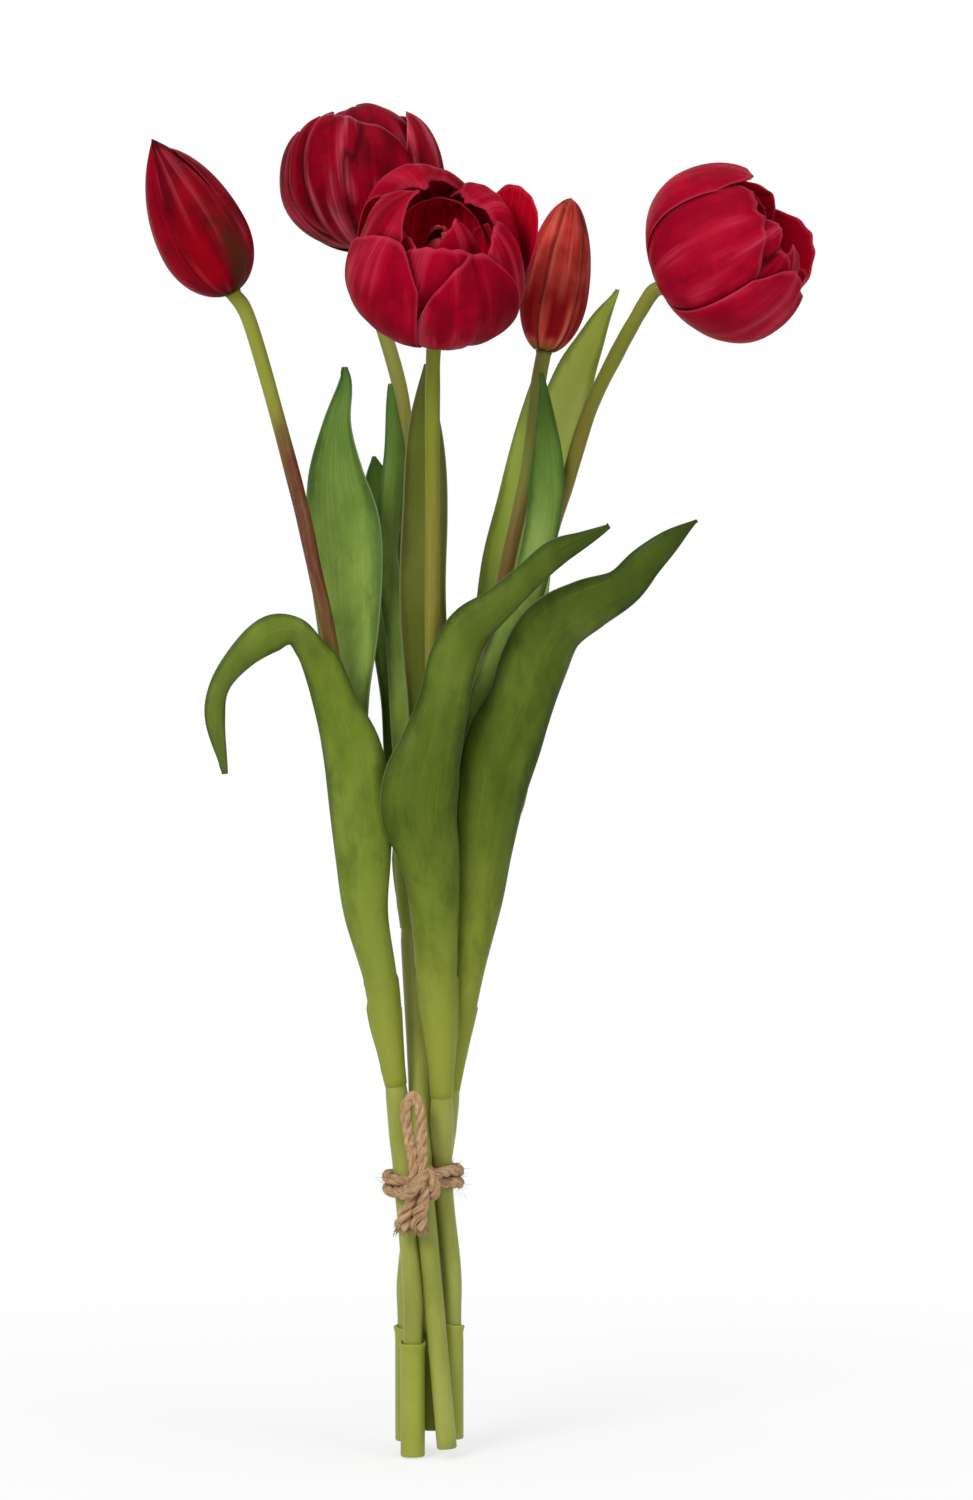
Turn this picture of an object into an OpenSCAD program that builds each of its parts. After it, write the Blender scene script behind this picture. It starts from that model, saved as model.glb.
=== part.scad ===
// Bunch of five artificial tulips with bendable stems, tied with jute twine.
// Millimetres. +Z runs up along the stems and the front of the bunch faces -Y.
// The origin is in the middle of the bundle, level with the longest stem's end.

/* [Stems] */
// Diameter of the steel wire inside a stalk
wire_d = 2; // [1.6:0.1:2.2]
// Outer diameter of the soft stalk that carries a flower
stalk_od = 5.2; // [4.8:0.1:5.6]
// Wall of the stem tube round the lower part of a stalk
stem_wall = 0.7; // [0.5:0.1:0.9]
// Clearance between pieces that are pushed over each other
push_gap = 0.2; // [0.15:0.01:0.25]
// How far a wire's foot lies above its stem's cut end
wire_inset = 3; // [1:0.5:6]
// Length of the stem tube that runs up inside the lower leaf
stem_overlap = 20; // [14:1:22]

/* [Base sleeves] */
// Length of a base sleeve
sleeve_length = 41; // [30:1:44]
// Wall of a base sleeve
sleeve_wall = 0.6; // [0.4:0.1:0.8]
// Height of the flared lip on top of a base sleeve
lip_height = 3; // [2:0.5:5]
// How far the lip stands out from the sleeve
lip_flare = 0.5; // [0.2:0.1:0.8]

/* [Bundle] */
// Height of the twine's middle above the longest stem's end
tie_height = 97; // [94:1:100]
// Least gap between neighbouring stems
bundle_gap = 0.3; // [0.2:0.1:0.6]
// How far the tie sits to the right of the stem ends' middle
tie_shift = -2; // [-3:0.5:0]

/* [Flower places] */
// Height of the left bud's neck
left_bud_height = 408; // [402:1:414]
// How far the left bud's neck lies to the left of the bundle's middle
left_bud_reach = 68; // [64:1:72]
// Height of the back flower's neck
back_bloom_height = 422; // [416:1:428]
// Height of the front flower's neck
front_bloom_height = 395; // [391:1:401]
// Height of the right bud's neck
right_bud_height = 387; // [384:1:392]
// Height of the right flower's neck
side_bloom_height = 410; // [406:1:416]
// How far the right flower's neck lies to the right of the bundle's middle
side_bloom_reach = 81; // [78:1:86]

/* [Leaves] */
// Thickness of a leaf
leaf_thickness = 1; // [0.8:0.1:1.2]
// Gap between a leaf's sheath and what it clasps
sheath_gap = 0.3; // [0.2:0.05:0.4]
// Length of the rolled sheath at the foot of a leaf
sheath_length = 20; // [16:1:22]
// Half angle that a sheath wraps round its stem
sheath_wrap = 120; // [100:5:130]

/* [Open flowers] */
// Radius of the flower at the back
back_bloom_radius = 29; // [27:0.5:30]
// Radius of the flower at the front
front_bloom_radius = 33; // [31:0.5:34]
// Radius of the flower at the right
side_bloom_radius = 31; // [29:0.5:32]
// Height of an open flower below its widest place
bloom_low = 24; // [22:0.5:26]
// Height of an open flower's outline above its widest place
bloom_high = 31; // [29:0.5:33]
// Distance between one ring of petals and the next
bloom_step = 3.8; // [3.6:0.1:4.2]
// Radius of the closed heart of small petals
heart_radius = 10; // [9:0.5:11]
// Height of the heart above its widest place
heart_high = 20; // [16:0.5:22]
// Thickness of a petal
petal_thickness = 1; // [0.8:0.1:1.2]
// How far a petal's edges lie above and below its neighbours
petal_lap = 1.2; // [1:0.1:1.3]

/* [Buds] */
// Radius of the bud at the left
left_bud_radius = 15.5; // [14.5:0.5:16.5]
// Height of the left bud above its widest place
left_bud_high = 36; // [32:1:38]
// Radius of the bud at the right
right_bud_radius = 12; // [11.5:0.5:13]
// Height of the right bud above its widest place
right_bud_high = 35; // [32:1:38]
// Height of a bud below its widest place
bud_low = 19; // [17:0.5:21]
// Distance between a bud's outer and inner petals
bud_step = 3; // [2.8:0.1:3.2]
// How far a bud petal's edges lie above and below its neighbours
bud_lap = 0.8; // [0.6:0.1:0.9]

/* [Head joint] */
// Diameter of the peg that a flower head turns on
peg_d = 3.2; // [3:0.1:3.6]
// Length of the peg above its flange
peg_length = 8; // [6:0.5:9]
// Thickness of the peg's flange
flange_height = 1; // [0.8:0.1:1.4]
// Radial clearance between the peg and its socket
turn_gap = 0.05; // [0.03:0.01:0.1]
// Gap between faces that turn past each other
face_gap = 0.2; // [0.1:0.05:0.3]
// Radius of the core that carries the petals
core_radius = 4.6; // [4.2:0.1:5]
// Height of one ring of petals' feet above the last
foot_step = 2.6; // [2.4:0.1:3]
// Gap between a petal's foot and the core
glue_gap = 0.3; // [0.2:0.05:0.4]

/* [Twine] */
// Diameter of the jute twine
twine_d = 3.6; // [3.2:0.1:3.8]
// Gap between neighbouring strands of the twine
twine_gap = 0.6; // [0.5:0.1:0.8]
// Gap between the twine and the stems that it holds
hold_gap = 0.4; // [0.2:0.1:0.5]
// Height of the loop above the knot
loop_height = 31; // [26:1:34]
// Length of the cut ends below the knot
tail_length = 15; // [12:1:18]

/* [Hidden] */
$fn = 48;

// The five tulips, in the order of every list below
LEFT_BUD = 0;
BACK_BLOOM = 1;
FRONT_BLOOM = 2;
RIGHT_BUD = 3;
SIDE_BLOOM = 4;
TULIPS = [LEFT_BUD, BACK_BLOOM, FRONT_BLOOM, RIGHT_BUD, SIDE_BLOOM];

// Colours
petal_red = "crimson";
heart_red = "firebrick";
bud_brown = "indianred";
leaf_green = "olivedrab";
pale_green = "yellowgreen";
stalk_green = "darkkhaki";
jute = "tan";
wire_grey = "silver";
core_green = "darkseagreen";

// Diameters that follow from the pieces inside
stem_bore = stalk_od + 2 * push_gap;
stem_od = stem_bore + 2 * stem_wall;
sleeve_bore = stem_od + 2 * push_gap;
sleeve_od = sleeve_bore + 2 * sleeve_wall;
lip_od = sleeve_od + 2 * lip_flare;
stem_pitch = stem_od + bundle_gap;
lip_pitch = lip_od + bundle_gap;

// Where each stem stands in the bundle, in pitches: at the lips and at the tie
lip_slot = [[-0.62, -0.55], [0.6, -0.85], [0.75, 0.22], [-0.82, 0.45], [0.05, 0.95]];
tie_slot = [[-1, 0.05], [-0.05, -0.45], [0.88, 0], [-0.3, 0.85], [0.75, 1.02]];
// Height of each stem's cut end above the longest one's
foot_rise = [0, 3, 5, 4, 7];
// Straight length of a stem above its sleeve
straight_run = 18;

// Hand-chosen points that each stalk passes above the tie
stalk_points = [
  [[-12, 0, 130], [-18, -3, 168], [-25, -6, 221], [-34, -8, 282], [-40, -9, 312], [-47, -10, 343]],
  [[-4, 7, 139], [-7, 12, 195], [-8, 20, 265], [-8, 30, 335], [-10, 38, 370]],
  [[4, -3, 143], [3, -6, 196], [1, -8, 266], [1, -9, 336], [1, -9, 360]],
  [[-4, 8, 112], [-2, 15, 142], [4, 17, 188], [11, 18, 230], [19, 20, 268], [26, 21, 307], [34, 22, 344]],
  [[9, 9, 146], [18, 11, 190], [25, 13, 230], [32, 14, 269], [40, 16, 314], [48, 16, 341], [56, 13, 367],
   [65, 10, 386], [72, 6.5, 399]]
];
// Where each head meets its stalk, how far it tilts and which way
neck = [[-left_bud_reach, -12, left_bud_height], [-22, 48, back_bloom_height], [2, -18, front_bloom_height],
        [40, 24, right_bud_height], [side_bloom_reach, 2, side_bloom_height]];
tilt = [28, 9, 33, 10, 63];
lean = [190, 130, -84, 7, -20];
// Straight length of each stalk below its head
neck_run = [14, 14, 14, 14, 4];
// Solid end of the peg above the wire, and how far the wire reaches into the peg
peg_end_wall = 2;
wire_grip = peg_length + flange_height - peg_end_wall;
// How far a cut runs past the face that it opens
cut_over = 1;

// Vectors and curves
function unit(v) = v / norm(v);
function mix(a, b, t) = a + (b - a) * t;
function ease(t) = let (c = max(0, min(1, t))) c * c * (3 - 2 * c);
function square_to(n, t) = unit(n - (n * t) * t);
function before(p, i) = i > 0 ? p[i - 1] : 2 * p[0] - p[1];
function after(p, i) = let (n = len(p)) i < n ? p[i] : 2 * p[n - 1] - p[n - 2];
function place(p) = [p[0], p[1], p[2]];

// A smooth curve through the points p; s counts points from 0
function curve(p, s) =
  let (i = min(floor(s), len(p) - 2), t = s - i,
       a = before(p, i), b = p[i], c = p[i + 1], d = after(p, i + 2))
  0.5 * (2 * b + (c - a) * t + (2 * a - 5 * b + 4 * c - d) * t ^ 2 + (3 * b - a - 3 * c + d) * t ^ 3);
function heading(p, s) =
  let (i = min(floor(s), len(p) - 2), t = s - i,
       a = before(p, i), b = p[i], c = p[i + 1], d = after(p, i + 2))
  unit(place((c - a) + 2 * (2 * a - 5 * b + 4 * c - d) * t + 3 * (3 * b - a - 3 * c + d) * t ^ 2));
// The count along a rising curve at which it reaches the height z
function count_at(p, z, low = 0, high = -1, turns = 24) =
  let (top = high < 0 ? len(p) - 1 : high, half = (low + top) / 2)
  turns == 0 ? half
  : curve(p, half)[2] < z ? count_at(p, z, half, top, turns - 1) : count_at(p, z, low, half, turns - 1);
// Cross directions carried along a curve without twist, starting from first
function carried(headings, first) =
  [for (i = 0, n = square_to(first, headings[0]); i < len(headings);
        i = i + 1, n = square_to(n, headings[min(i, len(headings) - 1)])) n];

// Cross direction in which every round's first corner starts, a little off square so that it fits any heading
first_across = [0, -1, 0.01];

// Skins over rings of points; a ring's points pair up across its ends
function side_faces(rings, sides, closed) =
  [for (i = [0:rings - (closed ? 1 : 2)], j = [0:sides - 1])
    let (a = i * sides, b = ((i + 1) % rings) * sides, k = (j + 1) % sides)
    each [[a + j, b + k, a + k], [a + j, b + j, b + k]]];
function end_faces(first, sides, top) =
  [for (j = [0:sides / 2 - 2])
    let (a = first + j, b = first + j + 1, c = first + sides - 2 - j, d = first + sides - 1 - j)
    each top ? [[d, c, b], [d, b, a]] : [[a, b, c], [a, c, d]]];
module skin(rings, closed = false) {
  sides = len(rings[0]);
  last = (len(rings) - 1) * sides;
  ends = closed ? [] : concat(end_faces(0, sides, false), end_faces(last, sides, true));
  polyhedron([for (ring = rings) each ring], concat(side_faces(len(rings), sides, closed), ends));
}
function round_rings(points, headings, radius, sides) =
  let (across = carried(headings, first_across))
  [for (i = [0:len(points) - 1])
    let (b = cross(headings[i], across[i]))
    [for (j = [0:sides - 1]) let (a = 360 * j / sides)
      points[i] + radius * (cos(a) * across[i] + sin(a) * b)]];
function reversed(list) = [for (i = [len(list) - 1:-1:0]) list[i]];

// Stem routes
function head_axis(k) = [sin(tilt[k]) * cos(lean[k]), sin(tilt[k]) * sin(lean[k]), cos(tilt[k])];
function at_lip(k, z) = [lip_slot[k][0] * lip_pitch, lip_slot[k][1] * lip_pitch, z];
function at_tie(k) = [tie_shift + tie_slot[k][0] * stem_pitch, tie_slot[k][1] * stem_pitch, tie_height];
// A stem stands straight in its sleeve; the back flower's has none and runs straight to the tie
function low_point(k, rise) =
  let (foot = at_lip(k, foot_rise[k]))
  k == BACK_BLOOM ? mix(foot, at_tie(k), rise / (tie_height - foot_rise[k])) : foot + [0, 0, rise];
function route(k) = concat(
  [low_point(k, 0), low_point(k, sleeve_length), low_point(k, sleeve_length + straight_run), at_tie(k)],
  stalk_points[k],
  [neck[k] - neck_run[k] * head_axis(k), neck[k], neck[k] + wire_grip * head_axis(k)]);
routes = [for (k = TULIPS) route(k)];
function neck_count(k) = len(routes[k]) - 2;
function stem_top(k) = lower_leaf_foot[k] + stem_overlap;

tube_sides = 8;
wire_sides = 6;
station_step = 2 / 3;
// Counts from one place on a route to another, with shared stations between them
function stations(from, to) =
  let (first = floor(from / station_step) + 1, last = ceil(to / station_step) - 1)
  concat([from], [for (i = [first:1:last]) i * station_step], [to]);
// Diameter across the corners of a tube's bore that leaves a round of this diameter clear
function bore_corners(d) = d / cos(180 / tube_sides);

module tube(k, counts, outer, inner) {
  points = [for (s = counts) curve(routes[k], s)];
  headings = [for (s = counts) heading(routes[k], s)];
  outside = round_rings(points, headings, outer / 2, tube_sides);
  inside = round_rings(points, headings, inner / 2, tube_sides);
  skin(concat(outside, reversed(inside)), closed = true);
}
module wire(k) {
  counts = stations(count_at(routes[k], foot_rise[k] + wire_inset), neck_count(k) + 1);
  points = [for (s = counts) curve(routes[k], s)];
  headings = [for (s = counts) heading(routes[k], s)];
  color(wire_grey) skin(round_rings(points, headings, wire_d / 2, wire_sides));
}
module stalk(k) {
  color(stalk_green) tube(k, stations(0, neck_count(k)), stalk_od, bore_corners(wire_d + 2 * push_gap));
}
module stem(k) {
  color(pale_green) tube(k, stations(0, count_at(routes[k], stem_top(k))), stem_od, bore_corners(stem_bore));
}
module sleeve(k) {
  color(pale_green) translate(at_lip(k, foot_rise[k])) difference() {
    union() {
      cylinder(d = sleeve_od, h = sleeve_length);
      translate([0, 0, sleeve_length - lip_height]) cylinder(d1 = sleeve_od, d2 = lip_od, h = lip_height);
    }
    translate([0, 0, -cut_over]) cylinder(d = sleeve_bore, h = sleeve_length + 2 * cut_over);
  }
}

// Leaves
lower_leaf_foot = [130, 185, 126, 165, 128];
upper_leaf_foot = [185, 210, 200, 195, 200];
// Direction from the back of each leaf to the stem that it clasps
lower_leaf_facing = [80, 90, 95, 80, 110];
upper_leaf_facing = [-100, -90, -90, -100, -80];
// Hand-chosen points on the middle of each leaf's back, with half width, half cup angle and roll
lower_leaf_points = [
  [[-18, -9, 167, 8.8, 90, 0], [-23, -12, 191, 9.4, 62, 0], [-24, -13, 212, 11, 48, 0],
   [-25, -14, 229, 12.2, 42, 0], [-28, -14, 249, 11.5, 40, 0], [-33, -15, 265, 8.6, 40, 0],
   [-37, -17, 278, 7.3, 40, 0], [-41, -20, 285, 5.4, 38, 8], [-46, -23, 291, 5, 36, 30],
    [-54, -27, 290.5, 6.6, 36, 50], [-64, -29, 282.5, 5.6, 34, 32], [-72, -30, 272, 4.2, 32, 25],
    [-74, -29, 260, 3.6, 30, 30], [-71, -26, 242, 0.6, 20, 30]],
  [[-7, 7, 234, 6.5, 56, 0], [-7, 8, 260, 7.8, 44, 0], [-8, 9, 279, 7.8, 40, 0],
   [-10, 10, 295, 6.5, 40, 10], [-13, 12, 309, 5.4, 42, 35], [-14, 14, 321, 5.4, 42, 45],
   [-13, 15, 334, 5.6, 40, 35], [-12, 16, 344, 5.3, 38, 25], [-12, 17, 356, 3.8, 34, 15],
   [-13, 18, 368, 2, 30, 10], [-14, 19, 376, 0.6, 20, 0]],
  [[3, -9, 167, 11.5, 100, 0], [2, -12, 195, 11.3, 70, 0], [0, -16, 212, 12, 48, 0],
   [-3, -19, 226, 14.2, 40, 0], [-2, -20, 239, 14, 36, 0], [1, -20, 251, 11.4, 36, 0],
   [5, -20, 267, 9.2, 38, 0], [8, -20, 281, 9, 38, 0], [14, -21, 292, 8.5, 38, 0],
   [24, -23, 300, 6.5, 36, 0], [35, -24, 310, 5.4, 34, 0], [44, -25, 318, 5, 32, 0],
   [53, -25, 323, 2.9, 30, 0], [62, -25, 328, 0.6, 20, 0]],
  [[7, 9, 202, 6, 70, 0], [12, 7, 230, 6.5, 60, 0], [17, 6, 258, 6.5, 50, 0], [23, 5, 276, 6.5, 45, 0],
   [30, 5, 294, 6.5, 40, 0], [36, 5, 311, 6.5, 40, 0], [40, 6, 329, 6.3, 40, 0], [41, 8, 346, 6, 35, 0],
   [40, 12, 364, 3.4, 30, 0], [39, 15, 380, 0.6, 20, 0]],
  [[14, 0, 166, 8.8, 90, 0], [18, -1, 193, 11.4, 62, 0], [20, -3, 213, 12.3, 46, 0],
   [23, -4, 235, 14, 40, 0], [27, -4, 251, 15, 38, 0], [33, -5, 265, 13.3, 36, 0],
   [38, -5, 278, 13.8, 36, 0], [44, -6, 290, 13, 36, 0], [55, -8, 298, 11, 36, 0],
   [67, -9, 305, 7.8, 34, 0], [75, -10, 314, 6.4, 32, 0], [84, -10, 322, 4.4, 30, 0],
   [93, -10, 329, 0.6, 20, 0]]
];
upper_leaf_points = [
  [[-28, 0, 231, 6.5, 70, 0], [-28, 2, 252, 8, 58, 0], [-28, 3, 269, 9.3, 48, 0],
   [-28, 4, 287, 11.4, 40, 0], [-29, 6, 309, 13.3, 32, 0], [-30, 7, 328, 13.6, 30, 0],
   [-32, 8, 345, 10.3, 30, 0], [-32, 8, 362, 5.5, 30, 0], [-30, 8, 375, 2.8, 28, 0],
   [-30, 8, 382, 0.6, 20, 0]],
  [[-9, 22, 240, 8, 60, 0], [-11, 26, 264, 8, 50, 0], [-14, 30, 292, 8, 40, 0], [-16, 33, 321, 7.5, 35, 0],
   [-19, 35, 340, 5, 30, 0], [-20, 36, 350, 0.6, 20, 0]],
  [[1, -2, 245, 9, 60, 0], [-1, 2, 273, 8.5, 45, 0], [-2, 5, 301, 8.5, 35, 0], [-2, 8, 329, 8.5, 35, 0],
   [-2, 9, 357, 6.5, 30, 0], [-1, 9, 383, 0.6, 20, 0]],
  [[10, 24, 229, 9, 60, 0], [18, 29, 261, 9, 45, 0], [24, 33, 289, 9, 40, 0], [27, 35, 314, 9, 35, 0],
   [30, 35, 335, 6.5, 32, 0], [33, 34, 356, 3.5, 28, 0], [36, 33, 376, 0.6, 20, 0]],
  [[25, 19, 229, 9, 60, 0], [31, 23, 261, 8, 50, 0], [33, 28, 292, 8.5, 45, 0],
   [36, 31, 321, 8.5, 40, 0], [40, 33, 342, 8.8, 38, 0], [45, 36, 363, 9, 36, 0],
   [51, 39, 379, 7.4, 34, 0], [56.5, 39, 390, 5.2, 32, 0], [61, 38, 400, 3.2, 30, 0],
   [66, 35, 409, 0.6, 20, 0]]
];
leaf_rings_each = 2;
leaf_across = 4;
// How much the sheath has widened at its upper end, and its half wrap there
sheath_widen = 1.2;
sheath_open = 100;

// One row of a sheath: a point on its back, its half width, half cup angle and roll
function sheath_row(k, z, facing, radius, wrap) =
  let (p = curve(routes[k], count_at(routes[k], z)) - radius * [cos(facing), sin(facing), 0])
  [p[0], p[1], p[2], radius * wrap * PI / 180, wrap, 0];
// A leaf's ring: across its outer face, then back across its inner face
function leaf_ring(row, along, facing) =
  let (turned = facing * cos(row[5]) + cross(along, facing) * sin(row[5]),
       side = cross(along, turned), radius = row[3] / (row[4] * PI / 180), half = leaf_thickness / 2,
       middle = place(row) + radius * turned)
  concat(
    [for (j = [0:leaf_across]) let (a = row[4] * (1 - 2 * j / leaf_across))
      middle + (radius + half) * (sin(a) * side - cos(a) * turned)],
    [for (j = [leaf_across:-1:0]) let (a = row[4] * (1 - 2 * j / leaf_across))
      middle + (radius - half) * (sin(a) * side - cos(a) * turned)]);
module leaf(k, foot, facing, clasped_d, points) {
  radius = (clasped_d / 2 + sheath_gap) / cos(sheath_wrap / leaf_across) + leaf_thickness / 2;
  rows = concat(
    [sheath_row(k, foot, facing, radius, sheath_wrap),
     sheath_row(k, foot + sheath_length, facing, radius * sheath_widen, sheath_open)],
    points);
  last = (len(rows) - 1) * leaf_rings_each;
  counts = [for (i = [0:last]) i / leaf_rings_each];
  headings = [for (s = counts) heading(rows, s)];
  facings = carried(headings, [cos(facing), sin(facing), 0]);
  skin([for (i = [0:last]) leaf_ring(curve(rows, counts[i]), headings[i], facings[i])]);
}
module lower_leaf(k) {
  color(leaf_green) leaf(k, lower_leaf_foot[k], lower_leaf_facing[k], stem_od, lower_leaf_points[k]);
}
// The side flower's upper leaf passes the right bud: above the bud's neck it keeps clear of the bud
bud_clearance = 1;
function from_bud_axis(row) =
  let (axis = head_axis(RIGHT_BUD), middle = neck[RIGHT_BUD] + axis * (row[2] - right_bud_height) / axis[2])
  [row[0] - middle[0], row[1] - middle[1]];
function clear_of_bud(row) =
  let (away = from_bud_axis(row), lack = right_bud_radius + row[3] + bud_clearance - norm(away))
  row[2] < right_bud_height || lack <= 0 ? row
  : [for (i = [0:len(row) - 1]) row[i] + (i < 2 ? lack * away[i] / norm(away) : 0)];
module upper_leaf(k) {
  points = [for (row = upper_leaf_points[k]) k == SIDE_BLOOM ? clear_of_bud(row) : row];
  color(leaf_green) leaf(k, upper_leaf_foot[k], upper_leaf_facing[k], stalk_od, points);
}

// Heads
module at_head(k) {
  translate(neck[k]) rotate([0, tilt[k], lean[k]]) children();
}
core_bottom = 2 * face_gap + flange_height;
// The core is as many foot steps high as it has rings of petals, with room above them
core_foot_steps = 5;
core_height = core_bottom + core_foot_steps * foot_step;
// Height of the lowest petal's foot
first_foot = core_bottom + 0.6;
module peg(k) {
  color(core_green) at_head(k) translate([0, 0, face_gap]) difference() {
    union() {
      cylinder(d = stalk_od, h = flange_height);
      cylinder(d = peg_d, h = flange_height + peg_length);
    }
    translate([0, 0, -cut_over]) cylinder(d = wire_d + 2 * push_gap, h = wire_grip + cut_over);
  }
}
module core(k) {
  socket_top = 2 * face_gap + flange_height + peg_length;
  color(core_green) at_head(k) difference() {
    translate([0, 0, core_bottom]) cylinder(r = core_radius, h = core_height - core_bottom);
    translate([0, 0, -cut_over]) cylinder(d = peg_d + 2 * turn_gap, h = socket_top + cut_over);
  }
}

// Where along its length a petal is widest, and its share of that width at its foot and at its tip
widest_at = 0.55;
foot_share = 0.5;
tip_share = 0.14;
// Facets along a petal, and across one
petal_along = 6;
petal_across = 4;
outer_across = 6;

// A petal lies on an egg-shaped cup: radius, height below and above the widest place, how pointed it is,
// height of its foot, angle of its tip above the widest place, half width and lap
function petal_foot_angle(radius) =
  -acos((core_radius + glue_gap) / (1 - petal_thickness / radius) / radius);
function petal_width(u) =
  u < widest_at ? mix(foot_share, 1, ease(u / widest_at))
  : max(tip_share, sqrt(max(0, 1 - ((u - widest_at) / (1 - widest_at)) ^ 2)));
function cup_point(radius, low, high, point, foot, up, around, off) =
  let (r = radius * (up > 0 ? cos(up) ^ point : cos(up)) + off * cos(up),
       z = foot - low * sin(petal_foot_angle(radius)) + (up < 0 ? low : high) * sin(up) + off * sin(up))
  [r * cos(around), r * sin(around), z];
module petal(radius, low, high, point, foot, tip, half_width, lap, across) {
  skin([for (i = [0:petal_along])
    let (u = i / petal_along, up = mix(petal_foot_angle(radius), tip, u), w = half_width * petal_width(u),
         lift = lap * ease(2 * u))
    concat(
      [for (j = [0:across]) let (v = 2 * j / across - 1)
        cup_point(radius, low, high, point, foot, up, w * v, lift * v)],
      [for (j = [across:-1:0]) let (v = 2 * j / across - 1)
        cup_point(radius, low, high, point, foot, up, w * v, lift * v - petal_thickness)])]);
}
bloom_radius = [0, back_bloom_radius, front_bloom_radius, 0, side_bloom_radius];
// Angle of the outer petals' tips in each open flower, and how it grows from ring to ring
bloom_tip = [0, 58, 50, 0, 54];
bloom_tip_step = 4;
// How far each open flower's petals are turned about its axis
bloom_turn = [0, 20, 35, 0, 10];
bloom_petals = 4;
// Half widths of the rings' petals, from the outermost ring inwards
bloom_half_width = [58, 52, 50];
bloom_rings = len(bloom_half_width);
// How much less each ring reaches down than the one around it
bloom_low_step = bloom_step - 0.6;
bloom_point = 1;
// One ring of an open flower's petals; ring 0 is the outermost
module bloom_ring(k, ring, across) {
  at_head(k) for (i = [0:bloom_petals - 1])
    rotate([0, 0, bloom_turn[k] + (i + ring / 2) * 360 / bloom_petals])
      petal(bloom_radius[k] - ring * bloom_step, bloom_low - ring * bloom_low_step,
            bloom_high - ring * bloom_step, bloom_point, first_foot + ring * foot_step,
            bloom_tip[k] + ring * bloom_tip_step, bloom_half_width[ring], petal_lap, across);
}
module outer_petals(k) { color(petal_red) bloom_ring(k, 0, outer_across); }
module middle_petals(k) { color(petal_red) bloom_ring(k, 1, petal_across); }
module inner_petals(k) { color(petal_red) bloom_ring(k, 2, petal_across); }
// The closed heart's petals stand edge to edge and don't lap
heart_petals_count = 3;
heart_point = 1.2;
heart_tip = 82;
heart_half_width = 56;
heart_lap = 0;
heart_across = 2;
module heart_petals(k) {
  color(heart_red) at_head(k) for (i = [0:heart_petals_count - 1])
    rotate([0, 0, bloom_turn[k] + i * 360 / heart_petals_count])
      petal(heart_radius, heart_radius, heart_high, heart_point, first_foot + bloom_rings * foot_step,
            heart_tip, heart_half_width, heart_lap, heart_across);
}
bud_radius = [left_bud_radius, 0, 0, right_bud_radius, 0];
bud_high = [left_bud_high, 0, 0, right_bud_high, 0];
// How far each bud's petals are turned about its axis
bud_turn = [-15, 0, 0, -150, 0];
bud_petals_count = 3;
bud_point = 1.25;
bud_tip = 86;
// Half widths of a bud's outer and inner petals
bud_half_width = [64, 54];
module bud_ring(k, ring) {
  at_head(k) for (i = [0:bud_petals_count - 1])
    rotate([0, 0, bud_turn[k] + (i + ring / 2) * 360 / bud_petals_count])
      petal(bud_radius[k] - ring * bud_step, bud_low - ring * bud_step, bud_high[k] - 2 * ring * bud_step,
            bud_point, first_foot + ring * foot_step, bud_tip, bud_half_width[ring], bud_lap, petal_across);
}
module bud_outer_petals(k) { color(k == LEFT_BUD ? petal_red : bud_brown) bud_ring(k, 0); }
module bud_inner_petals(k) { color(heart_red) bud_ring(k, 1); }

// Twine: from one cut end up through the knot, twice round the stems, up to the loop and down again.
// The knot's points are hand-chosen; those round the stems follow the outermost stem on each side
wrap_reach = stem_od / 2 + hold_gap + twine_d / 2;
twine_pitch = twine_d + twine_gap;
wrap_steps = 24;
twine_sides = 6;
// Two strands count as neighbours when they lie at least this far apart along the twine
strand_apart = 3 * twine_d;
function outermost(a) =
  let (reach = [for (k = TULIPS) at_tie(k) * [cos(a), sin(a), 0]], best = max(reach))
  [for (k = TULIPS) if (reach[k] == best) at_tie(k)][0];
function wrap_point(turn) =
  let (a = -90 + 360 * turn)
  outermost(a) + wrap_reach * [cos(a), sin(a), 0] + [0, 0, twine_pitch * (1 - turn)];
knot = wrap_point(1);
// A place in front of the wraps: across and forwards in strands, up in millimetres
function knot_point(across, layer, up) = knot + [across * twine_pitch, -layer * twine_pitch, up];
twine_route = concat(
  [knot_point(-2, 1, -tail_length), knot_point(-1.5, 1, -0.7 * tail_length),
   knot_point(-0.65, 1.1, -0.4 * tail_length), knot_point(0, 1.2, 0),
   knot_point(0.75, 1, 0.75 * twine_pitch)],
  [for (i = [2:2 * wrap_steps - 2]) wrap_point(i / wrap_steps)],
  [knot_point(-1.35, 1, -0.5 * twine_pitch), knot_point(-0.95, 2.1, 0.25 * twine_pitch),
   knot_point(-0.8, 2.1, 1.25 * twine_pitch), knot_point(-1.1, 1.2, 0.5 * loop_height),
   knot_point(-1.3, 1, 0.85 * loop_height), knot_point(-0.7, 1, loop_height),
   knot_point(-0.1, 1, 0.85 * loop_height), knot_point(0, 1.3, 0.5 * loop_height),
   knot_point(0.25, 2.2, 1.5 * twine_pitch), knot_point(0.4, 2.3, 0),
   knot_point(0.35, 1.8, -0.4 * tail_length), knot_point(0.2, 1.2, -0.7 * tail_length),
   knot_point(0.2, 1, -tail_length)]);
twine_last = len(twine_route) - 1;
twine_counts = [for (i = [0:0.5:twine_last]) i];
twine_middle = [for (s = twine_counts) curve(twine_route, s)];
twine_headings = [for (s = twine_counts) heading(twine_route, s)];
module twine_tie() {
  color(jute) skin(round_rings(twine_middle, twine_headings, twine_d / 2, twine_sides));
}
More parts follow.
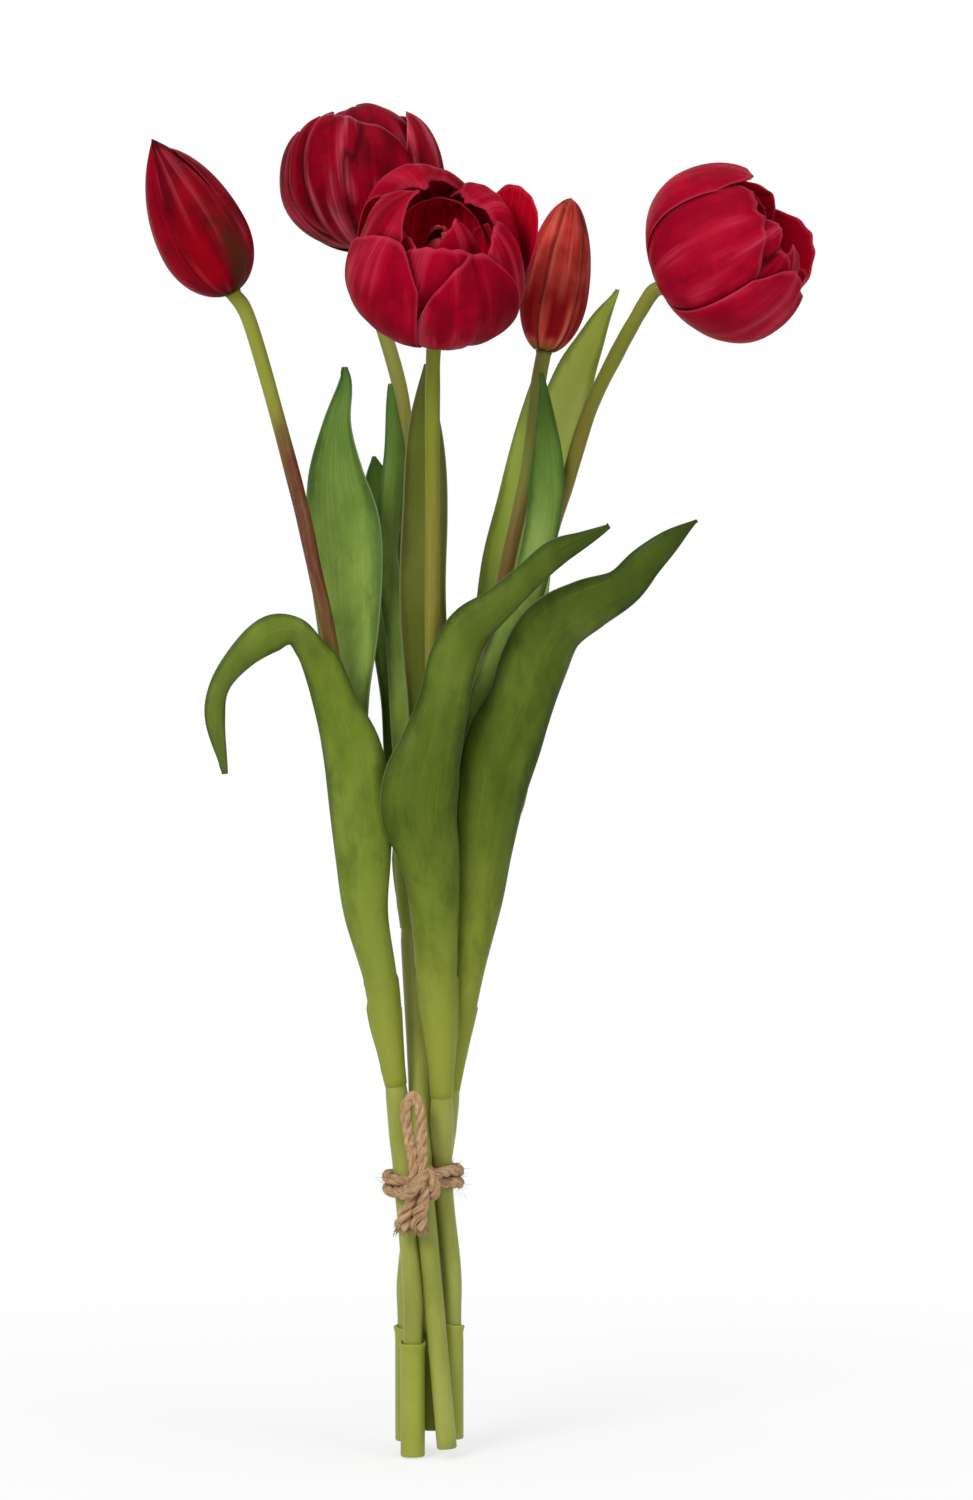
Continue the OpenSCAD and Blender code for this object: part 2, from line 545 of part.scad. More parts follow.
// Least gap between neighbouring strands
twine_runs = [for (i = 0, run = 0; i < len(twine_middle);
  i = i + 1, run = i < len(twine_middle) ? run + norm(twine_middle[i] - twine_middle[i - 1]) : run) run];
twine_least = min([for (i = [0:len(twine_middle) - 1], j = [i + 1:1:len(twine_middle) - 1])
  if (twine_runs[j] - twine_runs[i] > strand_apart) norm(twine_middle[i] - twine_middle[j])]) - twine_d;
echo(least_gap_in_the_twine = twine_least, twine_length = twine_runs[len(twine_runs) - 1]);

wire(LEFT_BUD);  // left_bud_wire
stalk(LEFT_BUD);  // left_bud_stalk
stem(LEFT_BUD);  // left_bud_stem
sleeve(LEFT_BUD);  // left_bud_sleeve
lower_leaf(LEFT_BUD);  // left_bud_lower_leaf
upper_leaf(LEFT_BUD);  // left_bud_upper_leaf
peg(LEFT_BUD);  // left_bud_peg
core(LEFT_BUD);  // left_bud_core
bud_outer_petals(LEFT_BUD);  // left_bud_outer_petals
bud_inner_petals(LEFT_BUD);  // left_bud_inner_petals
wire(BACK_BLOOM);  // back_bloom_wire
stalk(BACK_BLOOM);  // back_bloom_stalk
stem(BACK_BLOOM);  // back_bloom_stem
lower_leaf(BACK_BLOOM);  // back_bloom_lower_leaf
upper_leaf(BACK_BLOOM);  // back_bloom_upper_leaf
peg(BACK_BLOOM);  // back_bloom_peg
core(BACK_BLOOM);  // back_bloom_core
outer_petals(BACK_BLOOM);  // back_bloom_outer_petals
middle_petals(BACK_BLOOM);  // back_bloom_middle_petals
inner_petals(BACK_BLOOM);  // back_bloom_inner_petals
heart_petals(BACK_BLOOM);  // back_bloom_heart_petals
wire(FRONT_BLOOM);  // front_bloom_wire
stalk(FRONT_BLOOM);  // front_bloom_stalk
stem(FRONT_BLOOM);  // front_bloom_stem
sleeve(FRONT_BLOOM);  // front_bloom_sleeve
lower_leaf(FRONT_BLOOM);  // front_bloom_lower_leaf
upper_leaf(FRONT_BLOOM);  // front_bloom_upper_leaf
peg(FRONT_BLOOM);  // front_bloom_peg
core(FRONT_BLOOM);  // front_bloom_core
outer_petals(FRONT_BLOOM);  // front_bloom_outer_petals
middle_petals(FRONT_BLOOM);  // front_bloom_middle_petals
inner_petals(FRONT_BLOOM);  // front_bloom_inner_petals
heart_petals(FRONT_BLOOM);  // front_bloom_heart_petals
wire(RIGHT_BUD);  // right_bud_wire
stalk(RIGHT_BUD);  // right_bud_stalk
stem(RIGHT_BUD);  // right_bud_stem
sleeve(RIGHT_BUD);  // right_bud_sleeve
lower_leaf(RIGHT_BUD);  // right_bud_lower_leaf
upper_leaf(RIGHT_BUD);  // right_bud_upper_leaf
peg(RIGHT_BUD);  // right_bud_peg
core(RIGHT_BUD);  // right_bud_core
bud_outer_petals(RIGHT_BUD);  // right_bud_outer_petals
bud_inner_petals(RIGHT_BUD);  // right_bud_inner_petals
wire(SIDE_BLOOM);  // side_bloom_wire
stalk(SIDE_BLOOM);  // side_bloom_stalk
stem(SIDE_BLOOM);  // side_bloom_stem
sleeve(SIDE_BLOOM);  // side_bloom_sleeve
lower_leaf(SIDE_BLOOM);  // side_bloom_lower_leaf
upper_leaf(SIDE_BLOOM);  // side_bloom_upper_leaf
peg(SIDE_BLOOM);  // side_bloom_peg
core(SIDE_BLOOM);  // side_bloom_core
outer_petals(SIDE_BLOOM);  // side_bloom_outer_petals
middle_petals(SIDE_BLOOM);  // side_bloom_middle_petals
inner_petals(SIDE_BLOOM);  // side_bloom_inner_petals
heart_petals(SIDE_BLOOM);  // side_bloom_heart_petals
twine_tie();
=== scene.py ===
"""Looks of a bunch of five artificial tulips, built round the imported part.

The scene is in metres; the tables and shapes below are in millimetres, in the part's own frame:
+Z runs up along the stems and the front of the bunch faces -Y.
"""
import math

import bpy
import numpy as np
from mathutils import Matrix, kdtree


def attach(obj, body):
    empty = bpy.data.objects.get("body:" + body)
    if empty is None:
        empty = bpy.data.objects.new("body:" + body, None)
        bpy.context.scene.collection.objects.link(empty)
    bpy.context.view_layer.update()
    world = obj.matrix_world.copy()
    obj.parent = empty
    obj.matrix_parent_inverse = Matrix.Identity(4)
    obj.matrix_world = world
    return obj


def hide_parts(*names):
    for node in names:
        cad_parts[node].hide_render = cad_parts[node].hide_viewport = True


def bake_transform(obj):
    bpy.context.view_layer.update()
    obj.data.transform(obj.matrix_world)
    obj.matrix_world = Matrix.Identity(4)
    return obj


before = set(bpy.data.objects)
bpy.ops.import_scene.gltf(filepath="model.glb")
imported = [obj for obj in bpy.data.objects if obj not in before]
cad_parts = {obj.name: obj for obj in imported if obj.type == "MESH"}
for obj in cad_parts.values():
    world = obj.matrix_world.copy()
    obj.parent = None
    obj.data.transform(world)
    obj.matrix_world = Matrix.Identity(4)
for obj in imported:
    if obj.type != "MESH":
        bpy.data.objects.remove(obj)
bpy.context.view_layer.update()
MM = 0.001


def add_object(name, data):
    made = bpy.data.objects.new(name, data)
    bpy.context.scene.collection.objects.link(made)
    return made


# Camera
VIEW_CENTRE = (0.0198, 0.0, 0.2484)
VIEW_DISTANCE = 2.5
VIEW_ELEVATION = math.radians(4)
IMAGE_HEIGHT = 1500
MM_PER_PIXEL = 0.35
SENSOR = 36
camera_data = bpy.data.cameras.new("camera")
camera = add_object("camera", camera_data)
camera_data.sensor_fit = "AUTO"
camera_data.sensor_width = SENSOR
camera_data.lens = SENSOR * VIEW_DISTANCE / (IMAGE_HEIGHT * MM_PER_PIXEL * MM)
camera_data.clip_end = 50
camera.location = (VIEW_CENTRE[0],
                   VIEW_CENTRE[1] - VIEW_DISTANCE * math.cos(VIEW_ELEVATION),
                   VIEW_CENTRE[2] + VIEW_DISTANCE * math.sin(VIEW_ELEVATION))
camera.rotation_euler = (math.pi / 2 - VIEW_ELEVATION, 0, 0)
bpy.context.scene.camera = camera

# Sizes of the part
TULIPS = ["left_bud", "back_bloom", "front_bloom", "right_bud", "side_bloom"]
LEFT_BUD, BACK_BLOOM, FRONT_BLOOM, RIGHT_BUD, SIDE_BLOOM = range(5)
WIRE_D = 2
STALK_OD = 5.2
STEM_BORE = 5.6
STEM_OD = 7
SLEEVE_BORE = 7.4
SLEEVE_OD = 8.6
LIP_OD = 9.6
LIP_HEIGHT = 3
SLEEVE_LENGTH = 41
STRAIGHT_RUN = 18
STEM_OVERLAP = 20
WIRE_INSET = 3
STEM_PITCH = STEM_OD + 0.3
LIP_PITCH = LIP_OD + 0.3
TIE_HEIGHT = 97
TIE_SHIFT = -2
NECK_RUN = [14, 14, 14, 14, 4]
WIRE_GRIP = 7
# Where each stem stands: at its foot in lip pitches, at the tie in stem pitches
LIP_SLOT = [(-0.62, -0.55), (0.6, -0.85), (0.75, 0.22), (-0.82, 0.45), (0.05, 0.95)]
TIE_SLOT = [(-1, 0.05), (-0.05, -0.45), (0.88, 0), (-0.3, 0.85), (0.75, 1.02)]
# How far each stem's cut end lies above the lowest one
FOOT_RISE = [0, 3, 5, 4, 7]
# Points that each stalk passes between the tie and its neck
STALK_POINTS = [
    [(-12, 0, 130), (-18, -3, 168), (-25, -6, 221), (-34, -8, 282), (-40, -9, 312), (-47, -10, 343)],
    [(-4, 7, 139), (-7, 12, 195), (-8, 20, 265), (-8, 30, 335), (-10, 38, 370)],
    [(4, -3, 143), (3, -6, 196), (1, -8, 266), (1, -9, 336), (1, -9, 360)],
    [(-4, 8, 112), (-2, 15, 142), (4, 17, 188), (11, 18, 230), (19, 20, 268), (26, 21, 307), (34, 22, 344)],
    [(9, 9, 146), (18, 11, 190), (25, 13, 230), (32, 14, 269), (40, 16, 314), (48, 16, 341), (56, 13, 367),
     (65, 10, 386), (72, 6.5, 399)],
]
# Each neck's place, and how far its head tilts and which way it leans in degrees
NECK = [(-68, -12, 408), (-22, 48, 422), (2, -18, 395), (40, 24, 387), (81, 2, 410)]
TILT = [28, 9, 33, 10, 63]
LEAN = [190, 130, -84, 7, -20]


# Vectors and curves
def unit(v):
    return v / np.linalg.norm(v, axis=-1, keepdims=True)


def ease(t):
    c = np.clip(t, 0, 1)
    return c * c * (3 - 2 * c)


def spans(points, s):
    """The constants of the smooth curve through the points, for the span in which each count s lies."""
    p = np.asarray(points, float)
    q = np.vstack([2 * p[0] - p[1], p, 2 * p[-1] - p[-2]])
    i = np.minimum(np.floor(s).astype(int), len(p) - 2)
    a, b, c, d = q[i], q[i + 1], q[i + 2], q[i + 3]
    return b, c - a, 2 * a - 5 * b + 4 * c - d, 3 * b - a - 3 * c + d, (s - i)[:, None]


def curve(points, s):
    """A smooth curve through the points; s counts points from 0."""
    start, slope, bow, twist, t = spans(points, np.asarray(s, float))
    return 0.5 * (2 * start + slope * t + bow * t ** 2 + twist * t ** 3)


def heading(points, s):
    _, slope, bow, twist, t = spans(np.asarray(points, float)[:, :3], np.asarray(s, float))
    return unit(slope + 2 * bow * t + 3 * twist * t ** 2)


def carried(headings, first):
    """Cross directions carried along a curve without twist, starting from first."""
    n = np.asarray(first, float)
    out = []
    for h in headings:
        n = unit(n - (n @ h) * h)
        out.append(n)
    return np.array(out)


def head_turn(k):
    tilt, lean = math.radians(TILT[k]), math.radians(LEAN[k])
    c, s = math.cos(tilt), math.sin(tilt)
    about_y = np.array([[c, 0, s], [0, 1, 0], [-s, 0, c]])
    c, s = math.cos(lean), math.sin(lean)
    about_z = np.array([[c, -s, 0], [s, c, 0], [0, 0, 1]])
    return about_z @ about_y


def head_axis(k):
    return head_turn(k)[:, 2]


def at_lip(k, z):
    return np.array([LIP_SLOT[k][0] * LIP_PITCH, LIP_SLOT[k][1] * LIP_PITCH, z])


def at_tie(k):
    return np.array([TIE_SHIFT + TIE_SLOT[k][0] * STEM_PITCH, TIE_SLOT[k][1] * STEM_PITCH, TIE_HEIGHT])


def low_point(k, rise):
    """A stem stands straight in its sleeve; the back flower's has none and runs straight to the tie."""
    foot = at_lip(k, FOOT_RISE[k])
    if k == BACK_BLOOM:
        return foot + (at_tie(k) - foot) * rise / (TIE_HEIGHT - FOOT_RISE[k])
    return foot + np.array([0, 0, rise])


def route(k):
    neck, axis = np.array(NECK[k], float), head_axis(k)
    low = [low_point(k, rise) for rise in (0, SLEEVE_LENGTH, SLEEVE_LENGTH + STRAIGHT_RUN)]
    high = [neck - NECK_RUN[k] * axis, neck, neck + WIRE_GRIP * axis]
    return np.array(low + [at_tie(k)] + [np.array(p, float) for p in STALK_POINTS[k]] + high)


ROUTES = [route(k) for k in range(5)]
ROUTE_SAMPLES = 2000


def count_at(k, z):
    """The count along a route at which it reaches the height z."""
    counts = np.linspace(0, len(ROUTES[k]) - 1, ROUTE_SAMPLES)
    return float(np.interp(z, curve(ROUTES[k], counts)[:, 2], counts))


# Meshes
class Shape:
    """Points, faces and per-point values of one mesh, gathered piece by piece."""

    def __init__(self):
        self.points, self.faces, self.values, self.count = [], [], {}, 0

    def add(self, points, faces, **values):
        points = np.asarray(points, float).reshape(-1, 3)
        for name in set(self.values) | set(values):
            parts = self.values.setdefault(name, [np.zeros(self.count)])
            parts.append(np.broadcast_to(values.get(name, 0.0), (len(points),)).astype(float))
        self.points.append(points)
        self.faces += [tuple(int(i) + self.count for i in face) for face in faces]
        self.count += len(points)

    def build(self, name, material):
        mesh = bpy.data.meshes.new(name)
        mesh.from_pydata((np.vstack(self.points) * MM).tolist(), [], self.faces)
        for key, parts in self.values.items():
            attribute = mesh.attributes.new(key, "FLOAT", "POINT")
            attribute.data.foreach_set("value", np.concatenate(parts).astype(np.float32))
        mesh.polygons.foreach_set("use_smooth", [True] * len(mesh.polygons))
        mesh.materials.append(material)
        mesh.update()
        return add_object(name, mesh)


def grid_faces(rows, columns, first=0, flip=False, wrap=False):
    i, j = np.meshgrid(np.arange(rows - 1), np.arange(columns if wrap else columns - 1), indexing="ij")
    after = (j + 1) % columns
    a, b = first + i * columns + j, first + i * columns + after
    c, d = first + (i + 1) * columns + after, first + (i + 1) * columns + j
    quads = np.stack([a, b, c, d], -1).reshape(-1, 4)
    return quads[:, ::-1] if flip else quads


def perimeter(rows, columns):
    bottom = [(0, j) for j in range(columns)]
    right = [(i, columns - 1) for i in range(1, rows)]
    top = [(rows - 1, j) for j in range(columns - 2, -1, -1)]
    left = [(i, 0) for i in range(rows - 2, 0, -1)]
    return np.array(bottom + right + top + left)


EDGE_ROUND = 0.35
# A rough direction for the first side of a tube
TUBE_START = (0, -1, 0.01)


def add_shell(shape, outer, normals, thickness, along, across, seed, crease=0.0):
    """A closed sheet with rounded edges: outer points, the way out from them and the thickness at each."""
    rows, columns = outer.shape[:2]
    inner = outer - normals * thickness[..., None]
    edge = perimeter(rows, columns)
    inward = np.clip(edge, 1, [rows - 2, columns - 2])
    on_outer, on_inner = outer[edge[:, 0], edge[:, 1]], inner[edge[:, 0], edge[:, 1]]
    away = on_outer - outer[inward[:, 0], inward[:, 1]]
    away = away / (np.linalg.norm(away, axis=1, keepdims=True) + 1e-9)
    middle = (on_outer + on_inner) / 2 + away * EDGE_ROUND * thickness[edge[:, 0], edge[:, 1]][:, None]
    n, m = rows * columns, len(edge)
    flat = edge[:, 0] * columns + edge[:, 1]
    ring, after = np.arange(m), (np.arange(m) + 1) % m
    faces = np.vstack([
        grid_faces(rows, columns),
        grid_faces(rows, columns, first=n, flip=True),
        np.stack([flat[after], flat, 2 * n + ring, 2 * n + after], -1),
        np.stack([2 * n + after, 2 * n + ring, n + flat, n + flat[after]], -1),
    ])
    along = np.broadcast_to(along, (rows, columns)).ravel()
    across = np.broadcast_to(across, (rows, columns)).ravel()
    # How much painted shade each outer point takes in the creases between petals
    crease = np.broadcast_to(crease, (rows, columns)).ravel()
    shape.add(
        np.vstack([outer.reshape(-1, 3), inner.reshape(-1, 3), middle]), faces,
        along=np.concatenate([along, along, along[flat]]),
        across=np.concatenate([across, across, across[flat]]),
        crease=np.concatenate([crease, np.zeros(n + m)]),
        inside=np.concatenate([np.zeros(n), np.ones(n), np.full(m, 0.3)]),
        seed=seed)


def grid_normals(points, towards):
    """Unit normals of a grid, on the side where towards points."""
    n = np.cross(np.gradient(points, axis=1), np.gradient(points, axis=0))
    n = n / (np.linalg.norm(n, axis=-1, keepdims=True) + 1e-12)
    return np.where((n * towards).sum(-1, keepdims=True) < 0, -n, n)


def circle(sides):
    return np.linspace(0, 2 * np.pi, sides, endpoint=False)


def ring_points(points, across, other, radii, sides):
    """Round rings about points; across and other span the plane of each ring."""
    turn = circle(sides)
    spokes = np.cos(turn)[None, :, None] * across[:, None] + np.sin(turn)[None, :, None] * other[:, None]
    return points[:, None] + np.asarray(radii, float)[:, None, None] * spokes


def add_rings(shape, rings, along, seed, flip=False, caps=False):
    """Rings of points joined to one skin, with both ends closed if caps is set."""
    rows, sides = rings.shape[:2]
    faces = grid_faces(rows, sides, flip=flip, wrap=True).tolist()
    if caps:
        faces += [list(range(sides))[::-1], [(rows - 1) * sides + j for j in range(sides)]]
    across = np.tile(circle(sides) / np.pi - 1, rows)
    shape.add(rings, faces, along=np.repeat(along, sides), across=across, seed=seed)


def run_along(points):
    """The length from the first point to each point."""
    return np.concatenate([[0], np.cumsum(np.linalg.norm(np.diff(points, axis=0), axis=1))])


def add_tube(shape, points, headings, radii, sides, first=TUBE_START, seed=0.0):
    """A round tube along points, closed at its ends, with a radius for each point."""
    across = carried(headings, first)
    rings = ring_points(points, across, np.cross(headings, across), radii, sides)
    run = run_along(points)
    add_rings(shape, rings, run / run[-1], seed, caps=True)


# Materials
def rgb(red, green, blue):
    """A screen colour as the renderer's linear colour."""
    shares = [c / 255 for c in (red, green, blue)]
    return tuple(c / 12.92 if c <= 0.04045 else ((c + 0.055) / 1.055) ** 2.4 for c in shares) + (1.0,)


class Nodes:
    """A node tree with a few shorthands."""

    def __init__(self, tree):
        self.tree = tree

    def node(self, kind, inputs=None, **settings):
        made = self.tree.nodes.new("ShaderNode" + kind)
        for key, value in settings.items():
            setattr(made, key, value)
        for key, value in (inputs or {}).items():
            self.put(made.inputs[key], value)
        return made

    def put(self, socket, value):
        if isinstance(value, bpy.types.NodeSocket):
            self.tree.links.new(value, socket)
        else:
            socket.default_value = value

    def value(self, name):
        return self.node("Attribute", attribute_name=name).outputs["Fac"]

    def math(self, operation, a, b=0.0, c=0.0):
        return self.node("Math", {0: a, 1: b, 2: c}, operation=operation).outputs[0]

    def times(self, a, b):
        return self.math("MULTIPLY", a, b)

    def ramp(self, t, low, high, to_low=0.0, to_high=1.0):
        """A smooth step of t from low to high."""
        made = self.node("MapRange", {"Value": t, "From Min": low, "From Max": high, "To Min": to_low,
                                      "To Max": to_high}, interpolation_type="SMOOTHSTEP")
        return made.outputs["Result"]

    def mix(self, t, a, b):
        made = self.node("Mix", {"Factor": t}, data_type="RGBA")
        self.put(made.inputs[6], a)
        self.put(made.inputs[7], b)
        return made.outputs[2]

    def vector(self, x, y, z=0.0):
        return self.node("CombineXYZ", {0: x, 1: y, 2: z}).outputs[0]

    def noise(self, vector, scale, detail=2.0, roughness=0.5):
        made = self.node("TexNoise", {"Vector": vector, "Scale": scale, "Detail": detail,
                                      "Roughness": roughness})
        return made.outputs["Fac"]

    def place(self):
        return self.node("TexCoord").outputs["Object"]

    def long_place(self, share):
        """The place, with heights counted as a share, which draws noise out along the stems."""
        return self.node("Mapping", {"Vector": self.place(), "Scale": (1.0, 1.0, share)}).outputs[0]

    def seen(self):
        """1 for rays that make up the picture, 0 for those that only light the part."""
        rays = self.node("LightPath").outputs
        mirrored = self.math("MAXIMUM", rays["Is Glossy Ray"], rays["Is Transmission Ray"])
        return self.math("MAXIMUM", rays["Is Camera Ray"], mirrored)


class Surface(Nodes):
    """A material made of nodes."""

    def __init__(self, name):
        self.material = bpy.data.materials.new(name)
        self.material.use_nodes = True
        super().__init__(self.material.node_tree)
        self.shader = self.tree.nodes["Principled BSDF"]
        self.colour = None

    def set(self, **values):
        for key, value in values.items():
            self.put(self.shader.inputs[key.replace("_", " ")], value)

    def lay(self, colour, strength=1.0, seed=None):
        """Lays a colour over the one so far with a strength of 0 to 1, on one petal if a seed is given."""
        if seed is not None:
            strength = self.times(strength, self.math("COMPARE", self.value("seed"), seed, 0.5))
        self.colour = colour if self.colour is None else self.mix(strength, self.colour, colour)
        self.set(Base_Color=self.colour)

    def coat(self, noise, start, end, gloss):
        """A roughness that goes from start to end as a noise rises, and a gloss."""
        self.set(Roughness=self.ramp(noise, 0.3, 0.7, start, end), Specular_IOR_Level=gloss)

    def bump(self, height, strength, distance):
        made = self.node("Bump", {"Height": height, "Strength": strength, "Distance": distance})
        self.put(self.shader.inputs["Normal"], made.outputs["Normal"])


def streaks(s, fine, length, seed_step=17.3, detail=3.0):
    """Noise drawn out along a petal or leaf."""
    across = s.math("MULTIPLY_ADD", s.value("across"), fine, s.times(s.value("seed"), seed_step))
    along = s.times(s.value("along"), length)
    return s.noise(s.vector(across, along, s.value("seed")), 1.0, detail, 0.6)


def petal_material(name, dark, middle, light, inside, foot, pale=0.4, foot_reach=0.14, rim_highlight=0.25,
                   crease=rgb(46, 1, 7)):
    """A petal: soft lines, painted highlight streaks of sheen, a rim with a painted highlight, painted
    shade in the creases, its own inside and foot.
    """
    s = Surface(name)
    along, across = s.value("along"), s.value("across")
    fine = streaks(s, 17.0, 2.2)
    broad = streaks(s, 2.2, 1.6, 7.1, 1.0)
    cloud = s.noise(s.place(), 95.0, 3.0, 0.55)
    tone = s.math("MULTIPLY_ADD", broad, 0.3, s.times(cloud, 0.5))
    tone = s.math("MULTIPLY_ADD", fine, 0.2, tone)
    s.lay(s.mix(s.ramp(tone, 0.38, 0.62), dark, middle))
    # Painted highlight: streaks of sheen in the light colour, as strong as pale allows
    painted_sheen = s.times(s.ramp(broad, 0.5, 0.72), s.ramp(fine, 0.36, 0.7, 0.2, 1.0))
    s.lay(light, s.times(painted_sheen, pale))
    s.lay(foot, s.ramp(s.math("MULTIPLY_ADD", fine, 0.1, along), foot_reach + 0.05, 0.05))
    s.lay(s.mix(s.ramp(fine, 0.2, 0.8), middle, inside), s.value("inside"))
    # Painted shade: darker where other petals lie close, in the creases between them
    s.lay(crease, s.times(s.value("crease"), CREASE_SHADE_DEPTH))
    # Painted highlight: a lighter rim along the top and side edges of each petal
    rim = s.math("MAXIMUM", s.ramp(along, 0.96, 0.995), s.ramp(s.math("ABSOLUTE", across), 0.95, 1.0))
    s.lay(light, s.times(rim, rim_highlight))
    s.coat(broad, 0.56, 0.44, PETAL_GLOSS)
    s.bump(s.math("ADD", fine, s.times(streaks(s, 70.0, 2.4, 5.3), 0.2)), 0.1, 0.0005)
    return s


PETAL_GLOSS = 0.02
# How dark the painted shade in the creases gets
CREASE_SHADE_DEPTH = 0.8
# Seeds of single petals, as make_head counts them
LEFT_FRONT_PETAL = 1
LEFT_SIDE_PETAL = 2
FRONT_FRONT_PETAL = 48


def left_bud_petal():
    s = petal_material("petal_left_bud", rgb(84, 1, 13), rgb(128, 2, 20), rgb(172, 78, 90), rgb(90, 1, 10),
                       rgb(52, 6, 8), 0.5, rim_highlight=0.15)
    along, across = s.value("along"), s.value("across")
    lines = streaks(s, 9.0, 1.0)
    s.lay(rgb(142, 2, 24), s.times(s.ramp(lines, 0.3, 0.7, 0.2, 0.6), s.ramp(along, 0.1, 0.3)),
          LEFT_SIDE_PETAL)
    field = s.times(s.ramp(across, 0.1, -0.35), s.ramp(along, 0.75, 0.45))
    s.lay(rgb(144, 1, 14), s.times(field, s.ramp(along, 0.1, 0.3, 0.0, 0.6)), LEFT_FRONT_PETAL)
    low_right = s.times(s.ramp(along, 0.7, 0.25), s.ramp(across, -0.1, 0.45))
    s.lay(rgb(70, 38, 22), s.times(low_right, s.ramp(lines, 0.2, 0.55, 0.4, 0.95)), LEFT_FRONT_PETAL)
    return s.material


def right_bud_petal():
    # Painted light in part: the colours are lighter than the bud's own, to make up for the shadow that the
    # front flower casts on it
    s = petal_material("petal_right_bud", rgb(148, 38, 34), rgb(192, 66, 56), rgb(224, 136, 116),
                       rgb(104, 5, 12), rgb(108, 88, 38), 0.6, 0.2, rim_highlight=0.35, crease=rgb(70, 8, 9))
    along, across = s.value("along"), s.value("across")
    lines = streaks(s, 8.0, 1.1)
    side = s.math("ABSOLUTE", across)
    deep = s.times(s.ramp(s.math("MULTIPLY_ADD", lines, 0.5, side), 0.95, 0.5),
                  s.times(s.ramp(along, 0.12, 0.2), s.ramp(along, 0.6, 0.38)))
    s.lay(rgb(128, 2, 15), s.times(deep, 0.95))
    edge = s.times(s.ramp(side, 0.66, 0.92), s.ramp(lines, 0.3, 0.6, 0.2, 0.6))
    # No lighter edge where the painted shade in the creases lies
    edge = s.times(edge, s.math("SUBTRACT", 1.0, s.value("crease")))
    s.lay(rgb(190, 104, 76), edge)
    s.lay(rgb(122, 30, 28), s.times(s.ramp(along, 0.62, 0.9), 0.4))
    return s.material


def front_bloom_petal():
    # Its inside colour is the petals' red made brighter, as painted light shining through the petals
    s = petal_material("petal_front_bloom", rgb(118, 1, 21), rgb(150, 2, 31), rgb(200, 64, 90),
                       rgb(232, 16, 46), rgb(60, 1, 8), 0.45)
    along, across = s.value("along"), s.value("across")
    # Painted shade: the lower part of every petal darker
    s.lay(rgb(88, 1, 13), s.times(s.ramp(along, 0.62, 0.3), 0.5))
    # Painted shade: the front petal darker on its lower right
    low_right = s.times(s.ramp(across, 0.05, 0.45), s.ramp(along, 1.0, 0.75))
    s.lay(rgb(84, 1, 13), s.times(low_right, 0.55), FRONT_FRONT_PETAL)
    # Painted highlight: a light pink band along the front petal's left edge
    left_edge_highlight = s.times(s.ramp(across, -0.66, -0.95), s.ramp(along, 0.3, 0.6))
    s.lay(rgb(206, 78, 102), s.times(left_edge_highlight, 0.5), FRONT_FRONT_PETAL)
    return s.material


PETAL_MATERIALS = {
    LEFT_BUD: left_bud_petal(),
    BACK_BLOOM: petal_material("petal_back_bloom", rgb(88, 1, 13), rgb(138, 2, 27), rgb(206, 96, 114),
                               rgb(120, 1, 14), rgb(40, 1, 6), 0.6).material,
    FRONT_BLOOM: front_bloom_petal(),
    RIGHT_BUD: right_bud_petal(),
    SIDE_BLOOM: petal_material("petal_side_bloom", rgb(132, 3, 28), rgb(160, 8, 38), rgb(198, 78, 100),
                               rgb(190, 4, 30), rgb(64, 2, 10), 0.5).material,
}


def heart_material():
    s = Surface("petal_heart")
    fine = streaks(s, 12.0, 2.0)
    s.lay(s.mix(s.ramp(fine, 0.2, 0.8), rgb(150, 10, 36), rgb(190, 34, 62)))
    # Paler tips: partly their own tan colour, partly a painted highlight
    tip = s.times(s.ramp(s.value("along"), 0.8, 1.0), s.ramp(fine, 0.3, 0.65))
    s.lay(rgb(214, 112, 108), s.times(tip, 0.65))
    s.lay(rgb(70, 2, 10), s.ramp(s.value("along"), 0.5, 0.0))
    s.coat(fine, 0.56, 0.46, PETAL_GLOSS)
    s.bump(fine, 0.25, 0.0005)
    return s.material


LEAF_FOOT = rgb(136, 144, 56)


def leaf_material(name, young, grown, old, spots, dusk):
    """A leaf that darkens towards tip and edges, with light spots, dark mottles and a thin pale edge."""
    s = Surface(name)
    along = s.value("along")
    side = s.math("ABSOLUTE", s.value("across"))
    lines = streaks(s, 12.0, 2.4)
    fine = streaks(s, 46.0, 5.0, 9.1)
    long_place = s.long_place(0.45)
    mottle = s.noise(long_place, 130.0, 5.0, 0.66)
    patch = s.noise(long_place, 40.0, 2.0, 0.5)
    rise = s.math("MULTIPLY_ADD", patch, 0.3, along)
    s.lay(s.mix(s.ramp(rise, 0.24, 0.5), young, grown))
    s.lay(old, s.ramp(rise, 0.62, 1.08))
    s.lay(spots, s.times(s.ramp(fine, 0.44, 0.7), 0.3))
    s.lay(spots, s.times(s.ramp(lines, 0.5, 0.7), 0.25))
    s.lay(spots, s.times(s.ramp(patch, 0.44, 0.72), 0.6))
    s.lay(old, s.times(s.ramp(mottle, 0.36, 0.78), 0.6))
    s.lay(LEAF_FOOT, s.ramp(along, 0.2, 0.03))
    rough_side = s.math("MULTIPLY_ADD", mottle, 0.5, side)
    edge = s.times(s.ramp(rough_side, 0.8, 1.25), s.ramp(along, 0.12, 0.4))
    s.lay(dusk, s.times(edge, 0.75))
    s.lay(dusk, s.times(s.ramp(along, 0.86, 1.0), 0.5))
    s.lay(rgb(146, 158, 110), s.times(s.ramp(side, 0.97, 1.0), 0.35))
    s.coat(mottle, 0.42, 0.54, 0.08)
    s.bump(s.math("ADD", s.times(lines, 0.6), s.times(fine, 0.4)), 0.1, 0.0005)
    return s.material


